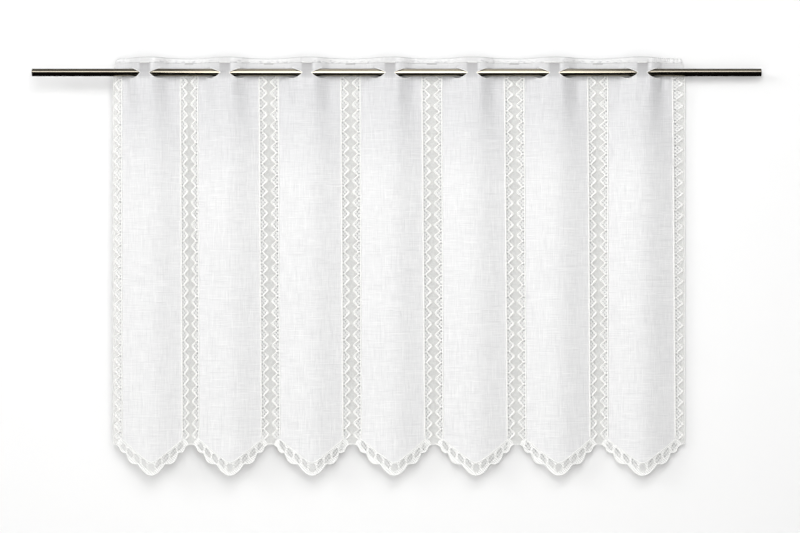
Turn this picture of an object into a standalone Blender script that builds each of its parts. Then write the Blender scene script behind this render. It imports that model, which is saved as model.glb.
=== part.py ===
"""Cafe curtain on a plain rod.

One white knitted lace cloth with seven pointed, scalloped panels is woven onto a round metal rod:
the rod runs in front of the cloth and dives behind a narrow bridge of it in each panel, through an
oval eyelet on either side of the bridge.

The frame is in metres. The origin is the centre of the rod's left end face, +X runs along the rod,
-Y points at the viewer and +Z is up.
"""

import math
from collections import namedtuple

import bmesh
import bpy
from mathutils import Vector
from mathutils.geometry import delaunay_2d_cdt

MM = 0.001

# The rod.
ROD_LENGTH = 1044 * MM
ROD_RADIUS = 5.4 * MM
ROD_SIDES = 40
ROD_EDGE_ROUNDING = 0.35 * MM

# The cloth's thickness: its ground, and the thicker cords, rims and hems knitted into it.
GROUND_THICKNESS = 1.2 * MM
CORD_THICKNESS = 2.0 * MM
CORD_WIDTH = 2.8 * MM
TOP_HEM = 8.0 * MM

# Heights above the rod's axis.
TOP_EDGE = 22.2 * MM
TOP_DIP = 2.0 * MM
SCALLOP_START = -533.4 * MM
TIP = -577.0 * MM

# The selvedges, how far the ends of the heading are drawn in above the rod, and their rounded corners.
LEFT_SELVEDGE = 114.8 * MM
RIGHT_SELVEDGE = 935.6 * MM
LEFT_DRAW_IN = 2.5 * MM
RIGHT_DRAW_IN = 4.0 * MM
LEFT_CORNER = 8.0 * MM
RIGHT_CORNER = 4.0 * MM

# An eyelet stands on either side of each bridge, and its upper rim rests on the rod.
BRIDGE_WIDTH = 17.0 * MM
EYELET_LENGTH = 26.0 * MM
EYELET_HEIGHT = 12.6 * MM
EYELET_RIM = 1.8 * MM
EYELET_TO_CORD = 4.4 * MM
REST_GAP = 0.4 * MM

# The folds: each panel crests towards the viewer, and each lace strip lies back. The cloth follows the
# rod's weave beside the rod, and its own looser fold further down.
WEAVE_DEPTH = ROD_RADIUS + REST_GAP + CORD_THICKNESS / 2
WEAVE_REACH = 9.0 * MM
WEAVE_FADE_ABOVE = 30.0 * MM
WEAVE_FADE_BELOW = 95.0 * MM
FOLD_SHARPNESS = 0.93

# Where each panel's cords run at the heading and at the hem, the middle of its bridge and its lowest
# tip, all in mm along the rod, and the depth of its fold below the rod.
Panel = namedtuple("Panel", "left_top left_foot right_top right_foot bridge tip fold")
PANELS = [
    Panel(*(size * MM for size in row))
    for row in (
        (127.4, 128.6, 211.8, 214.8, 161.7, 171.0, 6.2),
        (236.4, 238.9, 324.6, 328.2, 276.2, 283.4, 6.6),
        (352.1, 354.6, 441.9, 445.1, 393.7, 401.5, 6.9),
        (469.6, 471.3, 558.2, 562.6, 512.5, 519.0, 6.6),
        (586.6, 588.8, 676.6, 680.9, 629.9, 635.7, 6.4),
        (704.5, 707.7, 796.1, 799.6, 747.4, 753.8, 6.7),
        (825.0, 824.8, 917.6, 921.8, 873.4, 873.4, 7.8),
    )
]

# Half of a panel's scalloped edge, from its outermost lobe to its tip. A lobe's ends are shares of the
# half width and of the height above the tip. It leaves its outer end steeply and reaches its inner end
# nearly level, the more so the higher its roundness, and its points crowd towards its outer end.
Lobe = namedtuple("Lobe", "outer inner outer_rise inner_rise roundness segments")
LOBES = (
    Lobe(1.00, 0.76, 1.00, 0.73, 3.2, 5),
    Lobe(0.76, 0.39, 0.73, 0.365, 2.7, 7),
    Lobe(0.39, 0.00, 0.365, 0.00, 2.1, 7),
)
LOBE_CROWDING = 1.5
LOBE_START_PAST_CORD = 9.0 * MM

# The lines of the lace border: the pointed end of the linen, and the inner side of the dense rim.
# Each runs straight from a place beside the cord's foot to a point under the tip.
BorderLine = namedtuple("BorderLine", "past_cord end_height tip_height")
LINEN_END = BorderLine(0.0 * MM, -523.0 * MM, -557.5 * MM)
RIM_LINE = BorderLine(2.4 * MM, -534.5 * MM, -570.8 * MM)

# How finely the cloth is divided: heights of its rows, and columns across a panel and a strip.
UPPER_ROWS = [TOP_EDGE - TOP_HEM, 10.0 * MM]
LOWER_ROWS = [height * MM for height in (-11.0, -20.0, -36.0, -62.0, -104.0, -190.0, -340.0, -508.0)]
PANEL_COLUMNS = 8
STRIP_COLUMNS = 3
EYELET_SEGMENTS = 18
CORNER_SEGMENTS = 4
SELVEDGE_STEPS = 3
CLEAR_OF_EYELET = 2.8 * MM
MERGE_DISTANCE = 1e-7


def clear_scene():
    """Remove whatever the scene holds."""
    for item in list(bpy.data.objects):
        bpy.data.objects.remove(item, do_unlink=True)


def make_material(name, colour, roughness, metallic=0.0):
    """Return a Principled material."""
    material = bpy.data.materials.new(name)
    material.use_nodes = True
    shader = material.node_tree.nodes["Principled BSDF"]
    shader.inputs["Base Color"].default_value = (*colour, 1.0)
    shader.inputs["Roughness"].default_value = roughness
    shader.inputs["Metallic"].default_value = metallic
    return material


def add_object(name, mesh, material):
    """Turn a bmesh into a named object of the scene, with its material."""
    data = bpy.data.meshes.new(name)
    mesh.to_mesh(data)
    mesh.free()
    data.materials.append(material)
    item = bpy.data.objects.new(name, data)
    bpy.context.scene.collection.objects.link(item)
    return item


def between(low, high, share):
    """Return the value a share of the way from low to high."""
    return low + (high - low) * share


def smoothstep(share):
    """Ease from 0 to 1, level at both ends."""
    share = min(max(share, 0.0), 1.0)
    return share * share * (3 - 2 * share)


# Where the cloth's features run in front view.


def drop_share(z):
    """How far down the cloth a height is, from 0 at the top edge to 1 at the scallops."""
    return min(max((TOP_EDGE - z) / (TOP_EDGE - SCALLOP_START), 0.0), 1.0)


def left_cord(panel, z):
    """Where a panel's left cord runs at this height."""
    return between(panel.left_top, panel.left_foot, drop_share(z))


def right_cord(panel, z):
    """Where a panel's right cord runs at this height."""
    return between(panel.right_top, panel.right_foot, drop_share(z))


def left_edge(z):
    """Where the left selvedge runs at this height."""
    return LEFT_SELVEDGE + LEFT_DRAW_IN * smoothstep(z / (TOP_EDGE - TOP_HEM))


def right_edge(z):
    """Where the right selvedge runs at this height."""
    return RIGHT_SELVEDGE - RIGHT_DRAW_IN * smoothstep(z / (TOP_EDGE - TOP_HEM))


def troughs(z):
    """Where the cloth lies furthest back: the selvedges and the middles of the lace strips."""
    strips = [(right_cord(one, z) + left_cord(two, z)) / 2 for one, two in zip(PANELS, PANELS[1:])]
    return [left_edge(z), *strips, right_edge(z)]


def panel_at(x, z):
    """The number of the panel at this place of the front view, with the troughs on its two sides."""
    edges = troughs(z)
    number = sum(x > edge for edge in edges[1:-1])
    return number, edges[number], edges[number + 1]


def top_edge(x):
    """The height of the top edge, which dips at each lace strip."""
    _, low, high = panel_at(x, TOP_EDGE)
    return TOP_EDGE - TOP_DIP * (1 + math.cos(2 * math.pi * (x - low) / (high - low))) / 2


def eyelet_length(panel, side):
    """The length of the eyelet on one side of a panel's bridge, shortened where the cord is near."""
    cord = left_cord(panel, 0) if side < 0 else right_cord(panel, 0)
    return min(EYELET_LENGTH, abs(cord - panel.bridge) - BRIDGE_WIDTH / 2 - EYELET_TO_CORD)


# The folds.


def weave(z):
    """How closely the cloth follows the rod's weave at this height: 1 beside the rod, 0 far from it."""
    fade = WEAVE_FADE_ABOVE if z > 0 else WEAVE_FADE_BELOW
    return 1 - smoothstep((abs(z) - WEAVE_REACH) / fade)


def depth(x, z):
    """How far behind the rod's axis the middle of the cloth lies at this place of the front view."""
    number, low, high = panel_at(x, z)
    panel = PANELS[number]
    middle = (left_cord(panel, z) + right_cord(panel, z)) / 2
    crest = between(middle, panel.bridge, weave(z))
    side = 1 if x > crest else -1
    away = min(abs(x - crest) / abs((high if side > 0 else low) - crest), 1.0)

    neighbour = PANELS[min(max(number + side, 0), len(PANELS) - 1)]
    reach = between(panel.fold, (panel.fold + neighbour.fold) / 2, away)
    fold = reach * math.asin(FOLD_SHARPNESS * math.cos(math.pi * away)) / math.asin(FOLD_SHARPNESS)

    across = smoothstep((abs(x - crest) - BRIDGE_WIDTH / 2) / eyelet_length(panel, side))
    return -between(fold, WEAVE_DEPTH * (1 - 2 * across), weave(z))


# The lines of the front view.


def half_scallop(tip, start):
    """The points of half a panel's scalloped edge, from where its outermost lobe starts to its tip."""
    height = SCALLOP_START - TIP
    points = []
    for lobe in LOBES:
        for step in range(lobe.segments):
            share = (step / lobe.segments) ** LOBE_CROWDING
            fall = 1 - (1 - share) ** lobe.roundness
            x = between(lobe.outer, lobe.inner, share)
            rise = between(lobe.outer_rise, lobe.inner_rise, fall)
            points.append((tip + x * (start - tip), TIP + rise * height))
    return points


def scalloped_edge():
    """The points of the lower edge, from the left selvedge to the right one."""
    points = [(LEFT_SELVEDGE, SCALLOP_START)]
    for panel in PANELS:
        left = max(panel.left_foot - LOBE_START_PAST_CORD, LEFT_SELVEDGE + CORD_WIDTH)
        right = min(panel.right_foot + LOBE_START_PAST_CORD, RIGHT_SELVEDGE - CORD_WIDTH)
        points += half_scallop(panel.tip, left)
        points.append((panel.tip, TIP))
        points += reversed(half_scallop(panel.tip, right))
    return points + [(RIGHT_SELVEDGE, SCALLOP_START)]


def top_corner(edge, radius, side):
    """The points that round one end of the top edge, from the selvedge up."""
    turns = [math.pi / 2 * step / CORNER_SEGMENTS for step in range(CORNER_SEGMENTS + 1)]
    height = top_edge(edge) - radius
    return [
        (edge - side * radius * (1 - math.cos(turn)), height + radius * math.sin(turn)) for turn in turns
    ]


def outline():
    """The cloth's outline, anticlockwise from the top of its left selvedge."""
    left = top_corner(left_edge(TOP_EDGE), LEFT_CORNER, -1)
    right = top_corner(right_edge(TOP_EDGE), RIGHT_CORNER, 1)
    beside_rod = [UPPER_ROWS[-1] * step / SELVEDGE_STEPS for step in range(SELVEDGE_STEPS + 1)]
    sides = [*reversed(beside_rod), *LOWER_ROWS]
    top = sorted(columns(TOP_EDGE) + [x for line in cord_lines() for x, z in line[:1]])
    return [
        *reversed(left),
        *((left_edge(z), z) for z in sides),
        *scalloped_edge(),
        *((right_edge(z), z) for z in reversed(sides)),
        *right,
        *((x, top_edge(x)) for x in reversed(top) if left[-1][0] < x < right[-1][0]),
    ]


def panel_column(panel, step, z):
    """Where one of a panel's columns stands at this height."""
    return between(left_cord(panel, z), right_cord(panel, z), step / PANEL_COLUMNS)


def strip_column(number, step, z):
    """Where one of the columns of the lace strip left of this panel, or of the last one, stands."""
    start = left_edge(z) if number == 0 else right_cord(PANELS[number - 1], z)
    end = right_edge(z) if number == len(PANELS) else left_cord(PANELS[number], z)
    return between(start, end, step / STRIP_COLUMNS)


def columns(z):
    """Where all the columns stand at this height, apart from the cords' own lines."""
    strips = [
        strip_column(number, step, z)
        for number in range(len(PANELS) + 1)
        for step in range(1, STRIP_COLUMNS)
    ]
    return strips + [panel_column(panel, step, z) for panel in PANELS for step in range(1, PANEL_COLUMNS)]


def column_lines():
    """The columns below the rod, each down to its panel's border."""
    lines = []
    for number in range(len(PANELS) + 1):
        for step in range(1, STRIP_COLUMNS):
            lines.append([(strip_column(number, step, z), z) for z in LOWER_ROWS])
    for panel in PANELS:
        border = border_line(panel, LINEN_END, CORD_WIDTH / 2)
        for step in range(1, PANEL_COLUMNS):
            lines.append([(panel_column(panel, step, z), z) for z in LOWER_ROWS] + [border[step]])
    return lines


def cord_lines():
    """Three lines for every cord, its two sides and its ridge between them, from the top edge down."""
    lines = []
    for panel in PANELS:
        for cord in (left_cord, right_cord):
            for aside in (-CORD_WIDTH / 2, 0.0, CORD_WIDTH / 2):
                top = cord(panel, TOP_EDGE) + aside
                rows = [(cord(panel, z) + aside, z) for z in UPPER_ROWS + LOWER_ROWS]
                lines.append([(top, top_edge(top)), *rows])
    return lines


def border_line(panel, line, lift=0.0):
    """The points of one line of a panel's lace border, raised by lift: one for each column."""
    left = (panel.left_foot - line.past_cord, line.end_height + lift)
    right = (panel.right_foot + line.past_cord, line.end_height + lift)
    tip = (panel.tip, line.tip_height + lift)
    shares = [2 * step / PANEL_COLUMNS for step in range(PANEL_COLUMNS // 2)]
    falling = [(between(left[0], tip[0], share), between(left[1], tip[1], share)) for share in shares]
    rising = [(between(right[0], tip[0], share), between(right[1], tip[1], share)) for share in shares]
    return [*falling, tip, *reversed(rising)]


def eyelets():
    """The middle and the two half sizes of every eyelet."""
    height = ROD_RADIUS + REST_GAP - EYELET_HEIGHT / 2
    found = []
    for panel in PANELS:
        for side in (-1, 1):
            length = eyelet_length(panel, side)
            middle = (panel.bridge + side * (BRIDGE_WIDTH + length) / 2, height)
            found.append((middle, length / 2, EYELET_HEIGHT / 2))
    return found


def oval(eyelet, wider=0.0):
    """The points of an eyelet's edge, or of the line that lies this much outside it."""
    (x, z), half_length, half_height = eyelet
    turns = [2 * math.pi * step / EYELET_SEGMENTS for step in range(EYELET_SEGMENTS)]
    return [
        (x + (half_length + wider) * math.cos(turn), z + (half_height + wider) * math.sin(turn))
        for turn in turns
    ]


def in_eyelet(point, eyelet, room=0.0):
    """Whether a point of the front view lies in an eyelet, or closer to it than room."""
    (x, z), half_length, half_height = eyelet
    across = (point[0] - x) / (half_length + room)
    up = (point[1] - z) / (half_height + room)
    return across * across + up * up < 1


def near_eyelet(point):
    """Whether a point of the front view is too near an eyelet to be a corner of the grid."""
    return any(in_eyelet(point, eyelet, CLEAR_OF_EYELET) for eyelet in eyelets())


# The two solids.


class FrontView:
    """The cloth's points in front view, each with its weight, and the lines its edges must follow.

    A point's weight is 1 on the cords, rims and hems, and 0 on the thin ground.
    """

    def __init__(self):
        self.points = []
        self.weights = []
        self.lines = []

    def add_points(self, points, weight):
        """Add free points and return their numbers. The whole top hem is thick."""
        first = len(self.points)
        self.points += [Vector(point) for point in points]
        self.weights += [1 if z >= UPPER_ROWS[0] else weight for _, z in points]
        return list(range(first, len(self.points)))

    def add_line(self, points, weight, closed=False):
        """Add points joined in a row."""
        found = self.add_points(points, weight)
        self.lines += zip(found, found[1:])
        if closed:
            self.lines.append((found[-1], found[0]))


def lay_out_cloth():
    """Return the cloth's front view: outline, eyelets, cords, border, and a grid of rows and columns."""
    view = FrontView()
    view.add_line(outline(), 1, closed=True)
    for eyelet in eyelets():
        view.add_line(oval(eyelet), 1, closed=True)
        view.add_line(oval(eyelet, EYELET_RIM), 0, closed=True)
    for number, line in enumerate(cord_lines()):
        view.add_line(line, number % 3 == 1)
    for panel in PANELS:
        view.add_line(border_line(panel, LINEN_END, CORD_WIDTH / 2), 0)
        view.add_line(border_line(panel, LINEN_END), 1)
        view.add_line(border_line(panel, LINEN_END, -CORD_WIDTH / 2), 0)
        view.add_line(border_line(panel, RIM_LINE), 1)
    for line in column_lines():
        view.add_line(line, 0)
    for z in UPPER_ROWS:
        view.add_points([(x, z) for x in columns(z) if not near_eyelet((x, z))], 0)
    return view


def make_cloth():
    """Build the cloth: its front view is meshed, hung in its folds and given its thickness."""
    view = lay_out_cloth()
    points, _, faces, origins, _, _ = delaunay_2d_cdt(view.points, view.lines, [], 1, MERGE_DISTANCE)
    holes = eyelets()
    mesh = bmesh.new()
    weights = mesh.verts.layers.deform.verify()
    verts = []
    for point, origin in zip(points, origins):
        vert = mesh.verts.new((point.x, depth(point.x, point.y), point.y))
        vert[weights][0] = max((view.weights[number] for number in origin), default=0)
        verts.append(vert)
    for face in faces:
        middle = sum((points[number] for number in face), Vector((0, 0))) / len(face)
        if not any(in_eyelet(middle, hole) for hole in holes):
            mesh.faces.new([verts[number] for number in face])
    loose = [vert for vert in mesh.verts if not vert.link_faces]
    bmesh.ops.delete(mesh, geom=loose, context="VERTS")
    bmesh.ops.recalc_face_normals(mesh, faces=mesh.faces)

    cloth = add_object("curtain_cloth", mesh, make_material("white knitted lace", (0.90, 0.90, 0.89), 0.9))
    cloth.vertex_groups.new(name="cords")
    shell = cloth.modifiers.new("thickness", "SOLIDIFY")
    shell.thickness = CORD_THICKNESS
    shell.vertex_group = "cords"
    shell.thickness_vertex_group = GROUND_THICKNESS / CORD_THICKNESS
    shell.offset = 0
    shell.use_even_offset = True
    return cloth


def make_rod():
    """Build the rod: a round bar that starts at the origin and runs along +X."""
    mesh = bmesh.new()
    bmesh.ops.create_cone(
        mesh, cap_ends=True, segments=ROD_SIDES, radius1=ROD_RADIUS, radius2=ROD_RADIUS, depth=ROD_LENGTH
    )
    bmesh.ops.translate(mesh, verts=mesh.verts, vec=(0, 0, ROD_LENGTH / 2))
    rims = [edge for edge in mesh.edges if any(len(face.verts) > 4 for face in edge.link_faces)]
    bmesh.ops.bevel(
        mesh, geom=rims, offset=ROD_EDGE_ROUNDING, segments=2, profile=0.5, affect="EDGES", material=-1
    )
    rod = add_object("rod", mesh, make_material("antique brass", (0.29, 0.25, 0.18), 0.3, 1.0))
    rod.rotation_euler = (0, math.pi / 2, 0)
    rod.data.shade_smooth()
    rod.data.set_sharp_from_angle(angle=math.radians(40))
    return rod


clear_scene()
make_rod()
make_cloth()
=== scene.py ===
"""Cafe curtain on a plain rod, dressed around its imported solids.

The cloth is one piece of white knitted lace: seven pointed linen-look panels, joined by sheer lozenge
columns between zigzag cords and fine net, with a scalloped lace border, a folded top hem and stitched
eyelets. All of it is laid out flat in front view first, and then hung in the folds of its solid.

Metres. The origin is the centre of the rod's left end face, +X runs along the rod, -Y points at the
viewer and +Z is up.
"""

import logging
import math
import random
from dataclasses import dataclass
from enum import Enum
from typing import Callable

import bmesh
import bpy
from mathutils import Matrix, Vector
from mathutils.geometry import delaunay_2d_cdt


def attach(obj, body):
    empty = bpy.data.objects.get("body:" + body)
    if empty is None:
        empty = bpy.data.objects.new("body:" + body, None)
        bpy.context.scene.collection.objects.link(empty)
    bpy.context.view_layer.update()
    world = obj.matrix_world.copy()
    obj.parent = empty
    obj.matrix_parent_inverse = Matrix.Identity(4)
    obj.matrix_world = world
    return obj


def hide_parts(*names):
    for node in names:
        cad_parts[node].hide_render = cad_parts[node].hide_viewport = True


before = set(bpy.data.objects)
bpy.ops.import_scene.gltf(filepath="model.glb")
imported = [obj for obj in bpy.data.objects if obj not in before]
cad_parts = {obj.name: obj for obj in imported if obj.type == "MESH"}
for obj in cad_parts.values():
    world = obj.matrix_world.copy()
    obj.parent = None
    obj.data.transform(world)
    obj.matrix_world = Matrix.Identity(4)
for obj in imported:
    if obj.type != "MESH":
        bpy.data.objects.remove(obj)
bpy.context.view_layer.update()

MM = 0.001
BODY = "root"
CLOTH_NODE = "curtain_cloth"
ROD_NODE = "rod"
FLAT_MAP = "flat cloth"
ALONG = "along"
RADIUS = "radius"
# Painted shade about the rod, a share on each point of the cloth and the hem.
SHADE_ABOUT_ROD = "drawn tight"
UP_HEM = "up the hem"
MERGE_DISTANCE = 1e-7
WELD_DISTANCE = 1e-5
HAIR = 1e-6
CREASE_REACH = 2.5
CREASE_RUN_OUT = 0.3

Point = tuple[float, float]
Place = tuple[float, float, float]
Line = list[Point]
Hang = Callable[[float, float], Vector]

log = logging.getLogger("cafe curtain")


def between(low: float, high: float, share: float) -> float:
    """Return the value a share of the way from low to high."""
    return low + (high - low) * share


def ease(share: float) -> float:
    """Ease from 0 to 1, level at both ends."""
    share = min(max(share, 0.0), 1.0)
    return share * share * (3 - 2 * share)


def rounded_zigzag(turn: float, sharpness: float) -> float:
    """Return a zigzag between 1, at turn 0, and -1, with its corners rounded.

    Args:
        turn: how far along the zigzag, in radians.
        sharpness: 0 for a plain wave, up to 1 for sharp corners.

    Returns:
        The zigzag's height.
    """
    return math.asin(sharpness * math.cos(turn)) / math.asin(sharpness)


def signed_power(value: float, power: float) -> float:
    """Raise a value's size to a power, and keep its sign."""
    return math.copysign(abs(value) ** power, value)


def steps(low: float, high: float, count: int) -> list[float]:
    """Return count + 1 values, evenly spaced from low to high."""
    return [between(low, high, number / count) for number in range(count + 1)]


def inside_convex(point: Point, outline: Line) -> bool:
    """Whether a point lies inside a convex outline, given anticlockwise.

    Args:
        point: the point.
        outline: the corners of the outline.

    Returns:
        True for a point inside it or on its edge.
    """
    x, z = point
    for (from_x, from_z), (to_x, to_z) in zip(outline, [*outline[1:], outline[0]]):
        if (to_x - from_x) * (z - from_z) - (to_z - from_z) * (x - from_x) < 0:
            return False
    return True


# How a mesh and a material are put together.


def linear(colour: str) -> tuple[float, float, float, float]:
    """Turn an sRGB colour into the linear one that Blender's sockets hold.

    Args:
        colour: the colour as a hex value, such as "#F4F4F1".

    Returns:
        Red, green, blue and an alpha of 1.
    """
    channels = [int(colour[start : start + 2], 16) / 255 for start in (1, 3, 5)]
    red, green, blue = (
        value / 12.92 if value <= 0.04045 else ((value + 0.055) / 1.055) ** 2.4 for value in channels
    )
    return red, green, blue, 1.0


def add_node(
    tree: bpy.types.NodeTree, kind: str, inputs: dict | None = None, **settings: object
) -> bpy.types.Node:
    """Add a node, with its settings, its values and the links into it.

    Args:
        tree: the node tree that gets the node.
        kind: the node's type.
        inputs: for each input, by its name or number, a value or the socket that feeds it.
        settings: the node's own properties.

    Returns:
        The new node.
    """
    node = tree.nodes.new(kind)
    for name, value in settings.items():
        setattr(node, name, value)
    for key, value in (inputs or {}).items():
        if isinstance(key, int):
            socket = node.inputs[key]
        else:
            socket = next(one for one in node.inputs if one.name == key and one.enabled)
        if isinstance(value, bpy.types.NodeSocket):
            tree.links.new(value, socket)
        else:
            socket.default_value = value
    return node


def new_material(name: str, **constants: object) -> tuple[bpy.types.Material, bpy.types.Node]:
    """Make a material with one Principled shader.

    Args:
        name: the material's name.
        constants: values for the shader's sockets, with _ for a space in the socket's name.

    Returns:
        The material and its shader.
    """
    material = bpy.data.materials.new(name)
    material.use_nodes = True
    shader = material.node_tree.nodes["Principled BSDF"]
    for key, value in constants.items():
        shader.inputs[key.replace("_", " ")].default_value = value
    return material, shader


def add_piece(name: str, mesh: bmesh.types.BMesh, *finishes: bpy.types.Material) -> bpy.types.Object:
    """Turn a bmesh into a smooth piece of the curtain.

    Args:
        name: the piece's name.
        mesh: its shape, which is freed.
        finishes: its materials, in the order of the faces' material numbers.

    Returns:
        The new piece, at the origin.
    """
    data = bpy.data.meshes.new(name)
    mesh.to_mesh(data)
    mesh.free()
    for finish in finishes:
        data.materials.append(finish)
    data.shade_smooth()
    piece = bpy.data.objects.new(name, data)
    bpy.context.scene.collection.objects.link(piece)
    return piece


def join(whole: bmesh.types.BMesh, part: bmesh.types.BMesh) -> None:
    """Add the faces of one mesh to another, and free the first.

    Args:
        whole: the mesh that grows.
        part: the mesh that is added.
    """
    data = bpy.data.meshes.new("part")
    part.to_mesh(data)
    part.free()
    whole.from_mesh(data)
    bpy.data.meshes.remove(data)


def clip(mesh: bmesh.types.BMesh, point: Place, outward: Place) -> None:
    """Cut a mesh along a plane and drop what lies beyond it.

    Args:
        mesh: the mesh, changed in place.
        point: a point of the plane.
        outward: the side that goes.
    """
    geometry = [*mesh.verts, *mesh.edges, *mesh.faces]
    bmesh.ops.bisect_plane(
        mesh, geom=geometry, dist=MERGE_DISTANCE, plane_co=point, plane_no=outward, clear_outer=True
    )


def clip_to(mesh: bmesh.types.BMesh, outline: Line) -> None:
    """Cut a flat mesh in the XZ plane to a convex outline, given anticlockwise in front view."""
    for (x, z), (next_x, next_z) in zip(outline, [*outline[1:], outline[0]]):
        clip(mesh, (x, 0.0, z), (next_z - z, 0.0, x - next_x))


def hang_mesh(mesh: bmesh.types.BMesh, hang: Hang) -> None:
    """Hang a flat mesh of the XZ plane, and keep its flat places as its UV map.

    Args:
        mesh: the mesh, changed in place.
        hang: gives the place of a point of the front view.
    """
    layer = mesh.loops.layers.uv.new(FLAT_MAP)
    for face in mesh.faces:
        for loop in face.loops:
            loop[layer].uv = loop.vert.co.xz
    for vert in mesh.verts:
        vert.co = hang(vert.co.x, vert.co.z)


@dataclass(frozen=True)
class Strand:
    """A knitted or stitched cord: its line in front view, its radius, and how much its stitches swell,
    as a share of the radius. Each stitch is two thick points of the line and two thin ones."""

    line: Line
    radius: float
    closed: bool = False
    swell: float = 0.0


def cord_nodes(sides: int) -> bpy.types.NodeTree:
    """Make the node group that turns lines into round cords, and keeps how far along each a point lies.

    Args:
        sides: how many sides a cord has.

    Returns:
        The group, for a Geometry Nodes modifier.
    """
    tree = bpy.data.node_groups.new("round cord", "GeometryNodeTree")
    tree.interface.new_socket("Geometry", in_out="INPUT", socket_type="NodeSocketGeometry")
    tree.interface.new_socket("Geometry", in_out="OUTPUT", socket_type="NodeSocketGeometry")
    lines = add_node(tree, "NodeGroupInput")
    curves = add_node(tree, "GeometryNodeMeshToCurve", {"Mesh": lines.outputs[0]})
    place = add_node(tree, "GeometryNodeSplineParameter")
    measured = add_node(
        tree,
        "GeometryNodeStoreNamedAttribute",
        {"Geometry": curves.outputs[0], "Name": ALONG, "Value": place.outputs["Length"]},
        data_type="FLOAT",
        domain="POINT",
    )
    radius = add_node(tree, "GeometryNodeInputNamedAttribute", {"Name": RADIUS}, data_type="FLOAT")
    ring = add_node(tree, "GeometryNodeCurvePrimitiveCircle", {"Resolution": sides, "Radius": 1.0})
    cords = add_node(
        tree,
        "GeometryNodeCurveToMesh",
        {
            "Curve": measured.outputs[0],
            "Profile Curve": ring.outputs[0],
            "Scale": radius.outputs[0],
            "Fill Caps": True,
        },
    )
    add_node(tree, "NodeGroupOutput", {0: cords.outputs[0]})
    return tree


def sweep(
    name: str, strands: list[Strand], hang: Hang, sides: int, finish: bpy.types.Material
) -> bpy.types.Object:
    """Make one piece of round cords that follow the hung cloth.

    Args:
        name: the piece's name.
        strands: the cords.
        hang: gives the place of a point of the front view.
        sides: how many sides a cord has.
        finish: the cords' material.

    Returns:
        The new piece.
    """
    mesh = bmesh.new()
    radius = mesh.verts.layers.float.new(RADIUS)
    for strand in strands:
        verts = [mesh.verts.new(hang(x, z)) for x, z in strand.line]
        for number, vert in enumerate(verts):
            vert[radius] = strand.radius * (1 + strand.swell * (-1) ** (number // 2))
        for pair in zip(verts, verts[1:]):
            mesh.edges.new(pair)
        if strand.closed:
            mesh.edges.new((verts[-1], verts[0]))
    lines = add_piece(name + "_lines", mesh)
    nodes = lines.modifiers.new("cords", "NODES")
    nodes.node_group = cord_nodes(sides)
    made = bpy.data.meshes.new_from_object(lines.evaluated_get(bpy.context.evaluated_depsgraph_get()))
    bpy.data.objects.remove(lines)

    mesh = bmesh.new()
    mesh.from_mesh(made)
    bpy.data.meshes.remove(made)
    bmesh.ops.recalc_face_normals(mesh, faces=mesh.faces)
    return add_piece(name, mesh, finish)


# The cloth's front view, with the same sizes as its solid.


@dataclass(frozen=True)
class Panel:
    """One pointed panel: where its two cords run at the heading and at the hem, the middle of its
    bridge, its lowest tip and the depth of its fold, all in metres along the rod."""

    left_top: float
    left_foot: float
    right_top: float
    right_foot: float
    bridge: float
    tip: float
    fold: float


@dataclass(frozen=True)
class Lobe:
    """A lobe of the scalloped edge: shares of a panel's half width and height. It falls steeply at its
    outer end and runs flat at its inner one, more so with more roundness."""

    outer: float
    inner: float
    outer_rise: float
    inner_rise: float
    roundness: float
    segments: int


@dataclass(frozen=True)
class Eyelet:
    """An almond-shaped eyelet: its middle, half its length, how far it opens above and below the rod's
    axis, and how round each half is, from 2 for an ellipse to 1 for a diamond."""

    x: float
    half_length: float
    up: float
    down: float
    roundness_up: float = 1.2
    roundness_down: float = 1.5

    def holds(self, x: float, z: float, room: float = 0.0) -> bool:
        """Whether a point lies in the eyelet, or closer to it than room.

        Args:
            x: the place along the rod.
            z: its height.
            room: how far the eyelet is widened on every side.

        Returns:
            True for a point inside.
        """
        reach, roundness = (self.up, self.roundness_up) if z > 0 else (self.down, self.roundness_down)
        across = abs(x - self.x) / (self.half_length + room)
        return across**roundness + (abs(z) / (reach + room)) ** roundness < 1

    def edge(self, count: int, wider: float = 0.0) -> Line:
        """Return count points of the eyelet's edge, or of the line that lies this much outside it.

        Args:
            count: how many points.
            wider: how far outside the edge they lie.

        Returns:
            The closed line, anticlockwise.
        """
        points = []
        for step in range(count):
            turn = 2 * math.pi * step / count
            upper = turn < math.pi
            power = 2 / (self.roundness_up if upper else self.roundness_down)
            reach = (self.up if upper else self.down) + wider
            across = (self.half_length + wider) * signed_power(math.cos(turn), power)
            points.append((self.x + across, reach * signed_power(math.sin(turn), power)))
        return points


@dataclass(frozen=True)
class Crease:
    """A soft ridge or trough in the cloth near its heading, in mm: it runs from one place to another,
    and fades at its ends and its sides. A ridge has a positive lift, towards the viewer. It reaches
    CREASE_REACH widths to each side, and runs out over CREASE_RUN_OUT of its length at each end."""

    from_x: float
    from_z: float
    to_x: float
    to_z: float
    width: float
    lift: float

    def at(self, x: float, z: float) -> float:
        """Return how far the crease lifts a point of the front view, all in metres.

        Args:
            x: the place along the rod.
            z: its height.

        Returns:
            The lift, towards the viewer.
        """
        along_x = (self.to_x - self.from_x) * MM
        along_z = (self.to_z - self.from_z) * MM
        length = math.hypot(along_x, along_z)
        aside_x = x - self.from_x * MM
        aside_z = z - self.from_z * MM
        across = (aside_x * along_z - aside_z * along_x) / length / (self.width * MM)
        if abs(across) > CREASE_REACH:
            return 0.0
        share = (aside_x * along_x + aside_z * along_z) / (length * length)
        if not -CREASE_RUN_OUT < share < 1 + CREASE_RUN_OUT:
            return 0.0
        fade = 2 * CREASE_RUN_OUT
        ends = ease((share + CREASE_RUN_OUT) / fade) * ease((1 + CREASE_RUN_OUT - share) / fade)
        return self.lift * MM * ends * math.exp(-across * across)


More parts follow.
